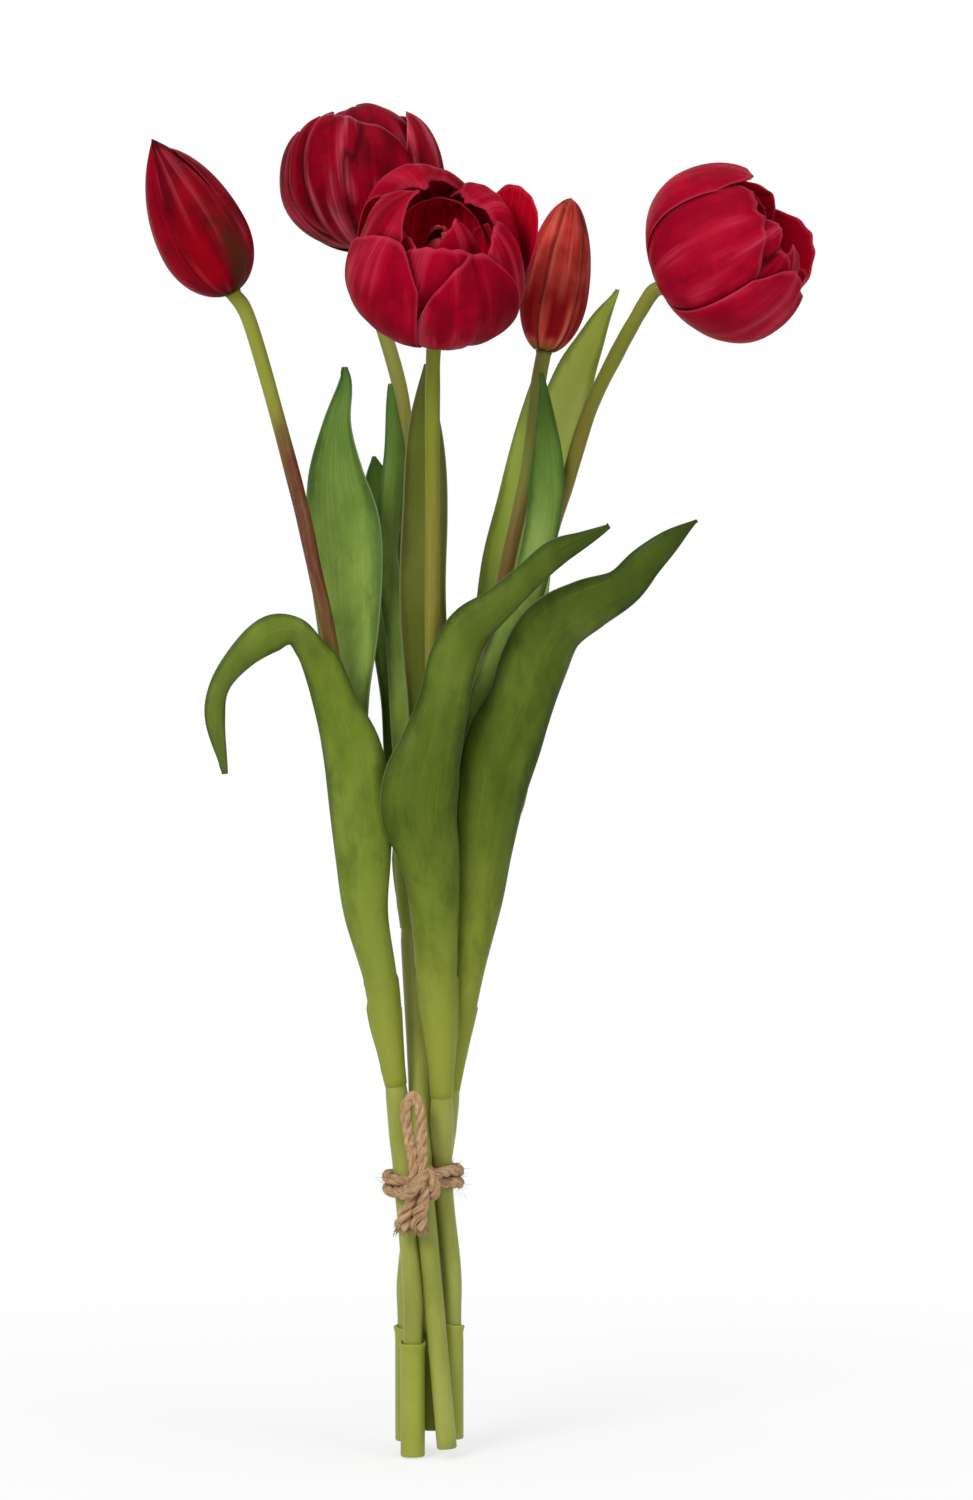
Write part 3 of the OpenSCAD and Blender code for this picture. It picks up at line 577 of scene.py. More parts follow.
def stalk_material(name, top, middle, low, patches):
    s = Surface(name)
    along = s.value("along")
    place = s.long_place(0.35)
    cloud = s.noise(place, 60.0, 3.0, 0.55)
    fine = streaks(s, 9.0, 30.0)
    rise = s.math("MULTIPLY_ADD", cloud, 0.16, along)
    s.lay(s.mix(s.ramp(rise, 0.72, 0.84), low, middle))
    s.lay(top, s.ramp(rise, 0.91, 0.98))
    s.lay(patches, s.times(s.ramp(cloud, 0.5, 0.7), 0.4))
    s.lay(rgb(146, 142, 76), s.times(s.ramp(fine, 0.4, 0.7), 0.25))
    s.coat(fine, 0.38, 0.5, 0.14)
    s.bump(fine, 0.2, 0.0004)
    return s.material


# Each stalk's colours: under the flower, half way, low down and in patches
STALK_COLOURS = [
    [(130, 134, 46), (92, 44, 32), (104, 84, 30), (96, 50, 34)],
    [(124, 128, 54), (120, 116, 46), (116, 104, 42), (132, 104, 56)],
    [(110, 118, 28), (118, 114, 36), (124, 108, 40), (128, 102, 50)],
    [(124, 130, 54), (120, 92, 46), (110, 80, 42), (118, 78, 48)],
    [(122, 126, 42), (118, 108, 38), (112, 90, 36), (118, 84, 42)],
]
STALK_MATERIALS = [stalk_material("stalk_" + name, *[rgb(*c) for c in colours])
                   for name, colours in zip(TULIPS, STALK_COLOURS)]


def stem_material(name, light, deep):
    s = Surface(name)
    place = s.long_place(0.3)
    cloud = s.noise(place, 70.0, 3.0, 0.55)
    fine = streaks(s, 12.0, 26.0)
    specks = s.noise(s.place(), 700.0, 2.0, 0.5)
    s.lay(s.mix(s.ramp(cloud, 0.28, 0.74), deep, light))
    s.lay(rgb(178, 184, 112), s.times(s.ramp(fine, 0.45, 0.7), 0.12))
    s.lay(rgb(112, 112, 46), s.times(s.ramp(specks, 0.7, 0.82), 0.08))
    s.coat(cloud, 0.34, 0.42, 0.2)
    s.bump(fine, 0.05, 0.0004)
    return s.material


def jute_material():
    s = Surface("jute")
    across = s.math("MULTIPLY_ADD", s.value("across"), 5.0, s.times(s.value("seed"), 11.0))
    along = s.times(s.value("along"), 60.0)
    hair = s.noise(s.vector(across, along, s.value("seed")), 1.0, 3.0, 0.65)
    cloud = s.noise(s.place(), 260.0, 2.0, 0.5)
    s.lay(s.mix(s.ramp(hair, 0.28, 0.72), rgb(130, 92, 58), rgb(198, 160, 118)))
    s.lay(rgb(214, 184, 146), s.times(s.ramp(cloud, 0.45, 0.7), 0.4))
    s.coat(hair, 0.75, 0.9, 0.25)
    s.set(Sheen_Weight=0.2, Sheen_Roughness=0.5)
    s.bump(hair, 0.6, 0.0005)
    return s.material


def wire_material():
    s = Surface("wire_steel")
    drawn = streaks(s, 14.0, 40.0)
    s.set(Base_Color=s.mix(s.ramp(drawn, 0.3, 0.7), rgb(120, 122, 124), rgb(176, 178, 180)), Metallic=1.0,
          Roughness=s.ramp(drawn, 0.3, 0.7, 0.28, 0.42))
    return s.material


def core_material():
    s = Surface("core_plastic")
    cloud = s.noise(s.place(), 320.0, 3.0, 0.5)
    s.lay(s.mix(s.ramp(cloud, 0.3, 0.7), rgb(78, 82, 28), rgb(104, 108, 40)))
    s.coat(cloud, 0.45, 0.6, 0.15)
    s.bump(cloud, 0.2, 0.0003)
    return s.material


HEART = heart_material()
# Colours of each kind of leaf: young near the foot, grown, old towards the tip, in spots and on dusky edges
LEAF_COLOURS = {
    "olive": [(126, 136, 48), (98, 116, 32), (66, 86, 20), (126, 140, 58), (50, 66, 20)],
    "deep": [(128, 138, 48), (78, 96, 22), (54, 72, 14), (106, 122, 44), (40, 56, 14)],
    "green": [(136, 148, 58), (120, 144, 60), (72, 104, 34), (146, 166, 92), (48, 76, 30)],
    # Light green leaves made lighter still, as painted light against the shade that the heads cast on them
    "light": [(168, 176, 64), (194, 212, 94), (184, 204, 86), (208, 222, 124), (126, 148, 56)],
    "dusk": [(112, 116, 42), (88, 96, 32), (80, 88, 28), (108, 114, 48), (68, 66, 26)],
}
LEAVES = {name: leaf_material("leaf_" + name, *[rgb(*c) for c in colours])
          for name, colours in LEAF_COLOURS.items()}
STEM = stem_material("stem_green", rgb(152, 158, 74), rgb(128, 134, 52))
SLEEVE = stem_material("sleeve_green", rgb(156, 163, 68), rgb(136, 144, 50))
JUTE = jute_material()
WIRE = wire_material()
CORE = core_material()


def dress(shape, node, material):
    piece = shape.build(node + "_shape", material)
    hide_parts(node)
    return piece


def place_piece(shape, node, material, body):
    piece = dress(shape, node, material)
    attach(piece, body)


# Stems, stalks, wires and sleeves
LOWER_LEAF_FOOT = [130, 185, 126, 165, 128]
UPPER_LEAF_FOOT = [185, 210, 200, 195, 200]
TUBE_SIDES = 20
STATIONS_EACH = 10
STALK_MEETS = 0.4
WIRE_SIDES = 8
# How uneven a stalk or stem is: share of its radius, and radians for each station
STALK_SLOW, STALK_FAST, STEM_SLOW = (0.025, 0.37), (0.015, 0.91), (0.012, 0.45)


def along_route(k, start, end):
    counts = np.linspace(start, end, int((end - start) * STATIONS_EACH) + 2)
    return curve(ROUTES[k], counts), heading(ROUTES[k], counts)


def bending_piece(shape, node, material):
    piece = dress(shape, node, material)
    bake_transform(piece)


def sway(kind, stations, turn):
    share, pace = kind
    return share * np.sin(np.arange(stations) * pace + turn)


def make_stalk(k):
    points, headings = along_route(k, 0, len(ROUTES[k]) - 2)
    radii = STALK_OD / 2 * (1 + sway(STALK_SLOW, len(points), k) + sway(STALK_FAST, len(points), 2 * k))
    points[-1] += STALK_MEETS * headings[-1]
    radii[-1] = STALK_OD / 2 + STALK_MEETS
    shape = Shape()
    add_tube(shape, points, headings, radii, TUBE_SIDES, seed=k + 0.5)
    bending_piece(shape, TULIPS[k] + "_stalk", STALK_MATERIALS[k])
    points, headings = along_route(k, count_at(k, FOOT_RISE[k] + WIRE_INSET), len(ROUTES[k]) - 1)
    shape = Shape()
    add_tube(shape, points, headings, np.full(len(points), WIRE_D / 2), WIRE_SIDES, seed=k)
    bending_piece(shape, TULIPS[k] + "_wire", WIRE)


CUT_ROUND = 0.5
# The stems swell between the tie and the lower leaf's foot
STEM_SWELL = 0.17
SWELL_CLEAR = 4
SWELL_RISE = 14
SWELL_FALL = 10
SLEEVE_SIDES = 36
LIP_FROM = 0.8
LIP_OVAL = 0.16
LIP_SLOPE = 0.54
LIP_JAG = 0.35
# Radians from one sleeve to the next, so that their lips differ
LIP_TURNS = (1.9, 2.3)


def there_and_back(rows):
    return np.concatenate([rows, rows[::-1]])


def make_stem(k):
    """A tube: up along its outside from a rounded cut end, and down its bore."""
    points, headings = along_route(k, 0, count_at(k, LOWER_LEAF_FOOT[k] + STEM_OVERLAP))
    rise = ease((points[:, 2] - TIE_HEIGHT - SWELL_CLEAR) / SWELL_RISE)
    fall = ease((LOWER_LEAF_FOOT[k] + SWELL_CLEAR - points[:, 2]) / SWELL_FALL)
    outside = STEM_OD / 2 * (1 + sway(STEM_SLOW, len(points), 2 * k) + STEM_SWELL * rise * fall)
    outside[0] -= CUT_ROUND
    outside = np.insert(outside, 1, STEM_OD / 2)
    points = np.insert(points, 1, points[0] + headings[0] * CUT_ROUND, axis=0)
    headings = np.insert(headings, 1, headings[0], axis=0)
    across = carried(headings, TUBE_START)
    other = np.cross(headings, across)
    radii = np.concatenate([outside, np.full(len(points), STEM_BORE / 2)])
    rings = ring_points(*[there_and_back(rows) for rows in (points, across, other)], radii, TUBE_SIDES)
    rings = np.vstack([rings, rings[:1]])
    along = np.append(there_and_back(np.linspace(0, 1, len(points))), 0)
    shape = Shape()
    add_rings(shape, rings, along, seed=k)
    place_piece(shape, TULIPS[k] + "_stem", STEM, "bunch")


def sleeve_profile():
    """Radius and height pairs round a sleeve's wall: out at the foot, up to the lip and down the bore."""
    bore, outer, lip, top = SLEEVE_BORE / 2, SLEEVE_OD / 2, LIP_OD / 2, SLEEVE_LENGTH
    wall = outer - bore
    return np.array([
        (bore, CUT_ROUND), (bore + 0.3 * wall, 0), (outer - 0.3 * wall, 0), (outer, CUT_ROUND),
        (outer, top - 2.2 * LIP_HEIGHT), (outer, top - LIP_HEIGHT),
        ((outer + lip) / 2, top - 0.55 * LIP_HEIGHT), (lip, top - 0.25 * LIP_HEIGHT),
        (lip, top - 0.1 * LIP_HEIGHT), (lip - 0.35, top),
        (bore + 0.25 * wall, top), (bore, top - CUT_ROUND), (bore, CUT_ROUND)])


def make_sleeve(k):
    """A sleeve whose lip is a little oval and cut unevenly."""
    profile = sleeve_profile()
    turn = circle(SLEEVE_SIDES)
    high = ease((profile[:, 1] / SLEEVE_LENGTH - LIP_FROM) / (1 - LIP_FROM))[:, None]
    wave = np.sin(turn + LIP_TURNS[0] * k) + LIP_JAG * np.sin(3 * turn + k)
    radius = profile[:, :1] + LIP_OVAL * high * np.sin(2 * turn + LIP_TURNS[1] * k)
    height = profile[:, 1:] + LIP_SLOPE * (wave - 1) * high
    rings = np.stack([radius * np.cos(turn), radius * np.sin(turn), height], -1) + at_lip(k, FOOT_RISE[k])
    shape = Shape()
    add_rings(shape, rings, profile[:, 1] / SLEEVE_LENGTH, seed=k + 20, flip=True)
    place_piece(shape, TULIPS[k] + "_sleeve", SLEEVE, "bunch")


for k in range(5):
    make_stalk(k)
    make_stem(k)
    if k != BACK_BLOOM:
        make_sleeve(k)

# Leaves
# The way that each leaf's inside faces at its foot, in degrees
LOWER_LEAF_FACING = [80, 90, 95, 80, 110]
UPPER_LEAF_FACING = [-100, -90, -90, -100, -80]
# Rows of place, half width, curl across in degrees and, where a leaf rolls over, roll in degrees
LOWER_LEAF_POINTS = [
    [(-18, -9, 167, 8.8, 90), (-23, -12, 191, 9.4, 62), (-24, -13, 212, 11, 48),
     (-25, -14, 229, 12.2, 42), (-28, -14, 249, 11.5, 40), (-33, -15, 265, 8.6, 40),
     (-37, -17, 278, 7.3, 40), (-41, -20, 285, 5.4, 38, 8), (-46, -23, 291, 5, 36, 30),
     (-54, -27, 290.5, 6.6, 36, 50), (-64, -29, 282.5, 5.6, 34, 32), (-72, -30, 272, 4.2, 32, 25),
     (-74, -29, 260, 3.6, 30, 30), (-71, -26, 242, 0.6, 20, 30)],
    [(-7, 7, 234, 6.5, 56), (-7, 8, 260, 7.8, 44), (-8, 9, 279, 7.8, 40),
     (-10, 10, 295, 6.5, 40, 10), (-13, 12, 309, 5.4, 42, 35), (-14, 14, 321, 5.4, 42, 45),
     (-13, 15, 334, 5.6, 40, 35), (-12, 16, 344, 5.3, 38, 25), (-12, 17, 356, 3.8, 34, 15),
     (-13, 18, 368, 2, 30, 10), (-14, 19, 376, 0.6, 20)],
    [(3, -9, 167, 11.5, 100), (2, -12, 195, 11.3, 70), (0, -16, 212, 12, 48),
     (-3, -19, 226, 14.2, 40), (-2, -20, 239, 14, 36), (1, -20, 251, 11.4, 36),
     (5, -20, 267, 9.2, 38), (8, -20, 281, 9, 38), (14, -21, 292, 8.5, 38),
     (24, -23, 300, 6.5, 36), (35, -24, 310, 5.4, 34), (44, -25, 318, 5, 32),
     (53, -25, 323, 2.9, 30), (62, -25, 328, 0.6, 20)],
    [(7, 9, 202, 6, 70), (12, 7, 230, 6.5, 60), (17, 6, 258, 6.5, 50), (23, 5, 276, 6.5, 45),
     (30, 5, 294, 6.5, 40), (36, 5, 311, 6.5, 40), (40, 6, 329, 6.3, 40), (41, 8, 346, 6, 35),
     (40, 12, 364, 3.4, 30), (39, 15, 380, 0.6, 20)],
    [(14, 0, 166, 8.8, 90), (18, -1, 193, 11.4, 62), (20, -3, 213, 12.3, 46),
     (23, -4, 235, 14, 40), (27, -4, 251, 15, 38), (33, -5, 265, 13.3, 36),
     (38, -5, 278, 13.8, 36), (44, -6, 290, 13, 36), (55, -8, 298, 11, 36),
     (67, -9, 305, 7.8, 34), (75, -10, 314, 6.4, 32), (84, -10, 322, 4.4, 30),
     (93, -10, 329, 0.6, 20)],
]
UPPER_LEAF_POINTS = [
    [(-28, 0, 231, 6.5, 70), (-28, 2, 252, 8, 58), (-28, 3, 269, 9.3, 48),
     (-28, 4, 287, 11.4, 40), (-29, 6, 309, 13.3, 32), (-30, 7, 328, 13.6, 30),
     (-32, 8, 345, 10.3, 30), (-32, 8, 362, 5.5, 30), (-30, 8, 375, 2.8, 28),
     (-30, 8, 382, 0.6, 20)],
    [(-9, 22, 240, 8, 60), (-11, 26, 264, 8, 50), (-14, 30, 292, 8, 40), (-16, 33, 321, 7.5, 35),
     (-19, 35, 340, 5, 30), (-20, 36, 350, 0.6, 20)],
    [(1, -2, 245, 9, 60), (-1, 2, 273, 8.5, 45), (-2, 5, 301, 8.5, 35), (-2, 8, 329, 8.5, 35),
     (-2, 9, 357, 6.5, 30), (-1, 9, 383, 0.6, 20)],
    [(10, 24, 229, 9, 60), (18, 29, 261, 9, 45), (24, 33, 289, 9, 40), (27, 35, 314, 9, 35),
     (30, 35, 335, 6.5, 32), (33, 34, 356, 3.5, 28), (36, 33, 376, 0.6, 20)],
    [(25, 19, 229, 9, 60), (31, 23, 261, 8, 50), (33, 28, 292, 8.5, 45),
     (36, 31, 321, 8.5, 40), (40, 33, 342, 8.8, 38), (45, 36, 363, 9, 36),
     (51, 39, 379, 7.4, 34), (56.5, 39, 390, 5.2, 32), (61, 38, 400, 3.2, 30),
     (66, 35, 409, 0.6, 20)],
]
LEAF_THICKNESS = 1
SHEATH_GAP = 0.3
SHEATH_LENGTH = 20
SHEATH_WRAP = 128
SHEATH_WIDEN = 1.15
SHEATH_OPEN = 104
SHEATH_SEAT = 0.2
SHEATH_THIN = 0.25
LEAF_RINGS_EACH = 7
LEAF_ACROSS = 17
ROW_LENGTH = 6
LEAST_HALF_WIDTH = 0.5
BLADE_FROM, BLADE_GROWS = 0.2, 0.25
RUFFLES, RUFFLE_DEPTH = 2.3, 0.9
RUFFLE_STEP, RUFFLE_SIDES = 0.21, 1.3
CHANNEL_DEPTH, CHANNEL_WIDTH = 0.5, 0.14
EDGE_THIN, TIP_THIN, TIP_FROM = 0.5, 0.45, 0.9
SHEATH_SHARE = 0.1


def sheath_row(k, z, facing, radius, wrap):
    p = curve(ROUTES[k], [count_at(k, z)])[0] - radius * np.array([math.cos(facing), math.sin(facing), 0])
    return (*p, radius * math.radians(wrap), wrap)


def make_leaf(k, name, foot, facing, clasped, points, material, seed):
    """A leaf blade with a sheath whose foot lies thin and close on the stem."""
    facing = math.radians(facing)
    radius = clasped / 2 + SHEATH_GAP + LEAF_THICKNESS / 2
    rows = [sheath_row(k, foot, facing, clasped / 2 + SHEATH_SEAT, SHEATH_WRAP),
            sheath_row(k, foot + SHEATH_LENGTH, facing, radius * SHEATH_WIDEN, SHEATH_OPEN), *points]
    rows = np.array([(*row, 0)[:ROW_LENGTH] for row in rows])
    last = (len(rows) - 1) * LEAF_RINGS_EACH
    counts = np.arange(last + 1) / LEAF_RINGS_EACH
    data, along = curve(rows, counts), heading(rows, counts)
    facings = carried(along, (math.cos(facing), math.sin(facing), 0))
    roll = np.radians(data[:, 5])[:, None]
    turned = facings * np.cos(roll) + np.cross(along, facings) * np.sin(roll)
    side = np.cross(along, turned)
    v = np.linspace(1, -1, LEAF_ACROSS)
    share = (counts / counts[-1])[:, None]
    blade = ease((share - BLADE_FROM) / BLADE_GROWS)
    angle = np.radians(data[:, 4])[:, None] * v
    bend = (np.maximum(data[:, 3], LEAST_HALF_WIDTH) / np.radians(data[:, 4]))[:, None]
    waves = np.sin(2 * np.pi * (RUFFLES * share + RUFFLE_STEP * seed) + RUFFLE_SIDES * np.sign(v))
    ruffle = RUFFLE_DEPTH * blade * np.abs(v) ** 3 * waves
    channel = -CHANNEL_DEPTH * blade * np.exp(-(v / CHANNEL_WIDTH) ** 2) * (1 - share)
    tip = ease((share - TIP_FROM) / (1 - TIP_FROM))
    thin = LEAF_THICKNESS * (1 - EDGE_THIN * np.abs(v) ** 6) * (1 - TIP_THIN * tip)
    thin = thin * (SHEATH_THIN + (1 - SHEATH_THIN) * ease(share / SHEATH_SHARE))
    reach = bend + thin / 2 - ruffle - channel
    outer = data[:, None, :3] + bend[..., None] * turned[:, None] + reach[..., None] * (
        np.sin(angle)[..., None] * side[:, None] - np.cos(angle)[..., None] * turned[:, None])
    shape = Shape()
    add_shell(shape, outer, grid_normals(outer, -turned[:, None]), thin, share, v, seed)
    place_piece(shape, f"{TULIPS[k]}_{name}", material, "bunch")


LOWER_LEAF_LOOKS = ["olive", "green", "deep", "green", "deep"]
UPPER_LEAF_LOOKS = ["green", "green", "dusk", "light", "light"]
for k in range(5):
    make_leaf(k, "lower_leaf", LOWER_LEAF_FOOT[k], LOWER_LEAF_FACING[k], STEM_OD, LOWER_LEAF_POINTS[k],
              LEAVES[LOWER_LEAF_LOOKS[k]], k + 1)
    make_leaf(k, "upper_leaf", UPPER_LEAF_FOOT[k], UPPER_LEAF_FACING[k], STALK_OD, UPPER_LEAF_POINTS[k],
              LEAVES[UPPER_LEAF_LOOKS[k]], k + 6)

# Petals
CORE_REACH = 2.6
PETAL_ALONG, PETAL_ACROSS = 44, 35
WIDEST, FOOT_SHARE, NARROW = 0.55, 0.92, 0.1
GROOVE_WIDTH = 0.13
CURL_FROM = 0.78
PETAL_EDGE_THIN = 0.55
RIM_POINTS = 9
RIM_WAVES = 3
# How far the painted shade in the creases reaches from other petals, in millimetres, for each head
CREASE_SHADE_REACH = [0.8, 1.25, 1.2, 0.75, 1.2]
# How far below a point another petal may lie and still add painted shade there
CREASE_SHADE_UNDER = 0.1
# Where the petals of each ring start above the neck, and how deep their cups are below the widest place
FEET = {"outer": 0.5, "middle": 3.0, "inner": 5.6, "heart": 9.0}
LOWS = {"outer": 25, "middle": 22, "inner": 18.5, "heart": 11}


def arch(tip, drop, power=2.2, peak=0.0):
    """A rim that rises to a tip, as up angles from one side edge to the other."""
    v = np.linspace(-1, 1, RIM_POINTS)
    far = np.where(v > peak, (v - peak) / (1 - peak), (peak - v) / (1 + peak))
    return tip - drop * far ** power


# A petal lies round the direction at, to half on either side, both in degrees round its head.
# Its cup has a radius, a low and a high height from the widest place, and a slimmer top for a larger point.
# The rim gives the up angles, from edge to edge, at which it ends. Lap lifts one edge and sinks the other,
# tuck sinks both, flare moves the top out and curl moves the rim. The rest are small forms and thickness.
PETAL = dict(at=0, radius=30, low=24, high=29, point=0.8, half=46, rim=arch(52, 40), lap=0.6, flare=0.0,
             curl=-0.5, ridge=0.1, ridges=5, wave=0.25, waves=5, dent=0.4, tuck=1.0, groove=0.0,
             groove_at=0.0, thick=0.9)


def petal_grid(p, seed):
    """A petal's outer points in its head's frame, the way out from them, and the counts both ways.

    The factors on seed only make the petals differ.
    """
    s = np.linspace(0, 1, PETAL_ALONG)[:, None]
    v = np.linspace(-1, 1, PETAL_ACROSS)
    r = p["radius"]
    start = -np.degrees(np.arccos(min(0.95, (CORE_REACH + p["thick"]) / r)))
    rim = curve(np.array(p["rim"], float)[:, None], (v + 1) / 2 * (len(p["rim"]) - 1))[:, 0]
    rim = rim + RIM_WAVES * p["wave"] * np.sin(np.pi * p["waves"] * v + 2.1 * seed)
    up = start + (rim - start) * s
    a = (up - start) / (max(p["rim"]) - start)
    width = np.where(a < WIDEST, FOOT_SHARE + (1 - FOOT_SHARE) * ease(a / WIDEST),
                     1 - NARROW * np.clip((a - WIDEST) / (1 - WIDEST), 0, 1) ** 2)
    around = np.radians(p["at"] + p["half"] * width * v)
    off = p["lap"] * v - p["tuck"] * np.abs(v) ** 4
    off = off - p["groove"] * np.exp(-((v - p["groove_at"]) / GROOVE_WIDTH) ** 2)
    off = off + p["ridge"] * np.cos(np.pi * p["ridges"] * v + seed) * (1 - v ** 4)
    off = off + p["dent"] * np.sin(1.5 * np.pi * v + 1.3 * seed) * np.sin(1.2 * np.pi * a + 0.7 * seed)
    off = off * ease(2 * a) + p["flare"] * np.clip(2 * a - 1, 0, 2) ** 2
    off = off + p["curl"] * np.clip((s - CURL_FROM) / (1 - CURL_FROM), 0, 1) ** 2
    off = off + p["wave"] * np.sin(np.pi * p["waves"] * v + 1.7 * seed) * np.clip(2 * s - 1, 0, 1) ** 2
    u = np.radians(up)
    cup = np.where(up > 0, np.cos(u) ** p["point"], np.cos(u))
    middle = p["foot"] - p["low"] * math.sin(math.radians(start))
    out = r * cup + off * np.cos(u)
    z = middle + np.where(up < 0, p["low"], p["high"]) * np.sin(u) + off * np.sin(u)
    points = np.stack([out * np.cos(around), out * np.sin(around), z], -1)
    way = np.stack([np.cos(around) * np.cos(u), np.sin(around) * np.cos(u), np.sin(u)], -1)
    return points, way, s, v[None, :]


def petal_sheet(k, seed, changes):
    """A petal's outer points, the way out from them, its thickness, and the counts along and across."""
    p = {**PETAL, **changes}
    points, way, s, v = petal_grid(p, seed)
    normals = grid_normals(points, way)
    thin = p["thick"] * (1 - PETAL_EDGE_THIN * np.maximum(s ** 8, np.abs(v) ** 8))
    turn = head_turn(k)
    return points @ turn.T + np.array(NECK[k]), normals @ turn.T, thin, s, v, seed


def creases(sheets, reach):
    """How near each petal's points lie to other petals level with them or over them, from 0 to 1: the
    amount of painted shade in the creases.
    """
    found = []
    for i, sheet in enumerate(sheets):
        others = np.vstack([other[0].reshape(-1, 3) for other in sheets[:i] + sheets[i + 1:]])
        tree = kdtree.KDTree(len(others))
        for j, point in enumerate(others):
            tree.insert(point, j)
        tree.balance()
        shade = []
        for point, normal in zip(sheet[0].reshape(-1, 3), sheet[1].reshape(-1, 3)):
            near = [(j, far) for _, j, far in tree.find_range(point, 2 * reach)]
            level = [far for j, far in near if (others[j] - point) @ normal > -CREASE_SHADE_UNDER]
            shade.append(1 - math.exp(-sum(math.exp(-(far / reach) ** 2) for far in level)))
        found.append(np.array(shade).reshape(sheet[0].shape[:2]))
    return found


def make_head(k, rings):
    """One piece for each ring of petals, with painted shade where the petals of the head lie close
    together.
    """
    sheets, places = [], []
    for ring, petals in rings.items():
        for i, petal in enumerate(petals):
            seed = 1 + i + 5 * list(FEET).index(ring) + 23 * k
            sheets.append(petal_sheet(k, seed, {"foot": FEET[ring], "low": LOWS[ring], **petal}))
            places.append(ring)
    shades = creases(sheets, CREASE_SHADE_REACH[k])
    for ring in rings:
        shape = Shape()
        for sheet, place, shade in zip(sheets, places, shades):
            if place == ring:
                add_shell(shape, *sheet, crease=shade)
        material = HEART if ring == "heart" else PETAL_MATERIALS[k]
        place_piece(shape, f"{TULIPS[k]}_{ring}_petals", material, TULIPS[k] + "_head")


def heart(turn, radius=9, high=22):
    return [dict(at=turn + 120 * i, radius=radius, high=high + 2 * (i - 1), half=68, rim=arch(89, 5, 2.6),
                 point=0.95, lap=0.5, ridge=0.15, wave=0.05) for i in range(3)]


FRONT = {
    "outer": [
        dict(at=-62, radius=33.2, half=44, high=29, point=0.6, wave=0.1,
             rim=(12, 23, 34, 42, 49, 52, 53, 45, 20)),
        dict(at=15, radius=33.5, half=37, high=31, point=1, groove=1.6, groove_at=0.25,
             rim=(-14, 13, 27, 35, 41, 44, 40, 31, 10)),
        dict(at=108, radius=31, half=38, high=26, point=0.35, flare=8, wave=0.05,
             rim=(12, 28, 37, 41, 42, 42, 41, 37, 24)),
        dict(at=-165, radius=31.8, half=46, high=36, point=0.5, curl=-8,
             rim=(40, 56, 64, 70, 77, 83, 84, 74, 52)),
    ],
    "middle": [
        dict(at=-2, radius=29.2, half=46, high=28, rim=(40, 48, 51, 52, 52, 51, 48, 42, 34)),
        dict(at=50, radius=30.8, half=24, high=30, point=0.6, rim=(30, 40, 47, 53, 57, 59, 60, 58, 46)),
        dict(at=128, radius=29.6, half=44, high=31, point=0.5, curl=-7,
             rim=(40, 58, 70, 77, 80, 78, 72, 60, 42)),
        dict(at=-84, radius=29, half=43, high=34, point=0.68, flare=1, wave=0.1,
             rim=(30, 46, 60, 72, 78, 80, 75, 62, 46)),
    ],
    "inner": [
        dict(at=180, radius=24, half=66, high=30, point=0.5, curl=-4, wave=0.05,
             rim=(20, 38, 46, 50, 50, 46, 40, 30, 14)),
        dict(at=105, radius=22.5, half=46, high=24, point=0.7, rim=arch(40, 36)),
        dict(at=34, radius=16, low=16, half=50, high=29, wave=0.1,
             rim=(48, 58, 64, 68, 72, 73, 62, 40, 20)),
        dict(at=-62, radius=24, half=40, high=30, rim=(20, 40, 48, 50, 50, 49, 48, 44, 34)),
    ],
    "heart": heart(-60, 8, 22),
}
# The side of the back flower that faces the front, in degrees round its head
SEEN = 140
BACK = {
    "outer": [
        dict(at=SEEN - 16, radius=30.3, half=28, high=26, point=0.6, lap=-0.5, tuck=2, ridge=0.25,
             rim=(50, 64, 67, 64, 60, 57, 54, 50, 44)),
        dict(at=SEEN + 20, radius=30.9, half=36, high=25, lap=-0.5, tuck=2, ridge=0.25,
             rim=(57, 55, 50, 46, 41, 31, 14, 0, -10)),
        dict(at=SEEN + 125, radius=29, half=50, high=28, lap=-0.9, rim=arch(58, 40)),
        dict(at=SEEN - 150, radius=29, half=46, high=27, lap=-0.9, rim=arch(54, 36)),
    ],
    "middle": [
        dict(at=SEEN - 88, radius=29, half=38, foot=1.6, low=23.4, high=26, point=0.6, lap=-0.5, tuck=2,
             rim=(10, 28, 40, 47, 51, 53, 50, 40, 20)),
        dict(at=SEEN - 40, radius=29.5, half=24, high=26, point=0.6, lap=-0.5, tuck=2,
             rim=(42, 63, 67, 66, 63, 60, 56, 50, 44)),
        dict(at=SEEN + 62, radius=30.4, half=30, foot=1.6, low=23.4, high=26, point=0.5, lap=-0.5, tuck=2,
             rim=(2, 30, 48, 57, 61, 63, 62, 56, 44)),
        dict(at=SEEN + 180, radius=26.5, half=56, high=30, point=0.7, rim=arch(66, 40)),
    ],
    "inner": [
        dict(at=SEEN + 16, radius=26, half=60, high=29, rim=(50, 66, 76, 82, 85, 84, 78, 68, 52)),
        dict(at=SEEN + 110, radius=24.5, half=50, high=28, rim=arch(76, 40)),
        dict(at=SEEN + 200, radius=23.5, half=50, high=28, rim=arch(76, 40)),
        dict(at=SEEN - 80, radius=24.5, half=50, high=28, rim=arch(76, 40)),
    ],
    "heart": heart(20),
}
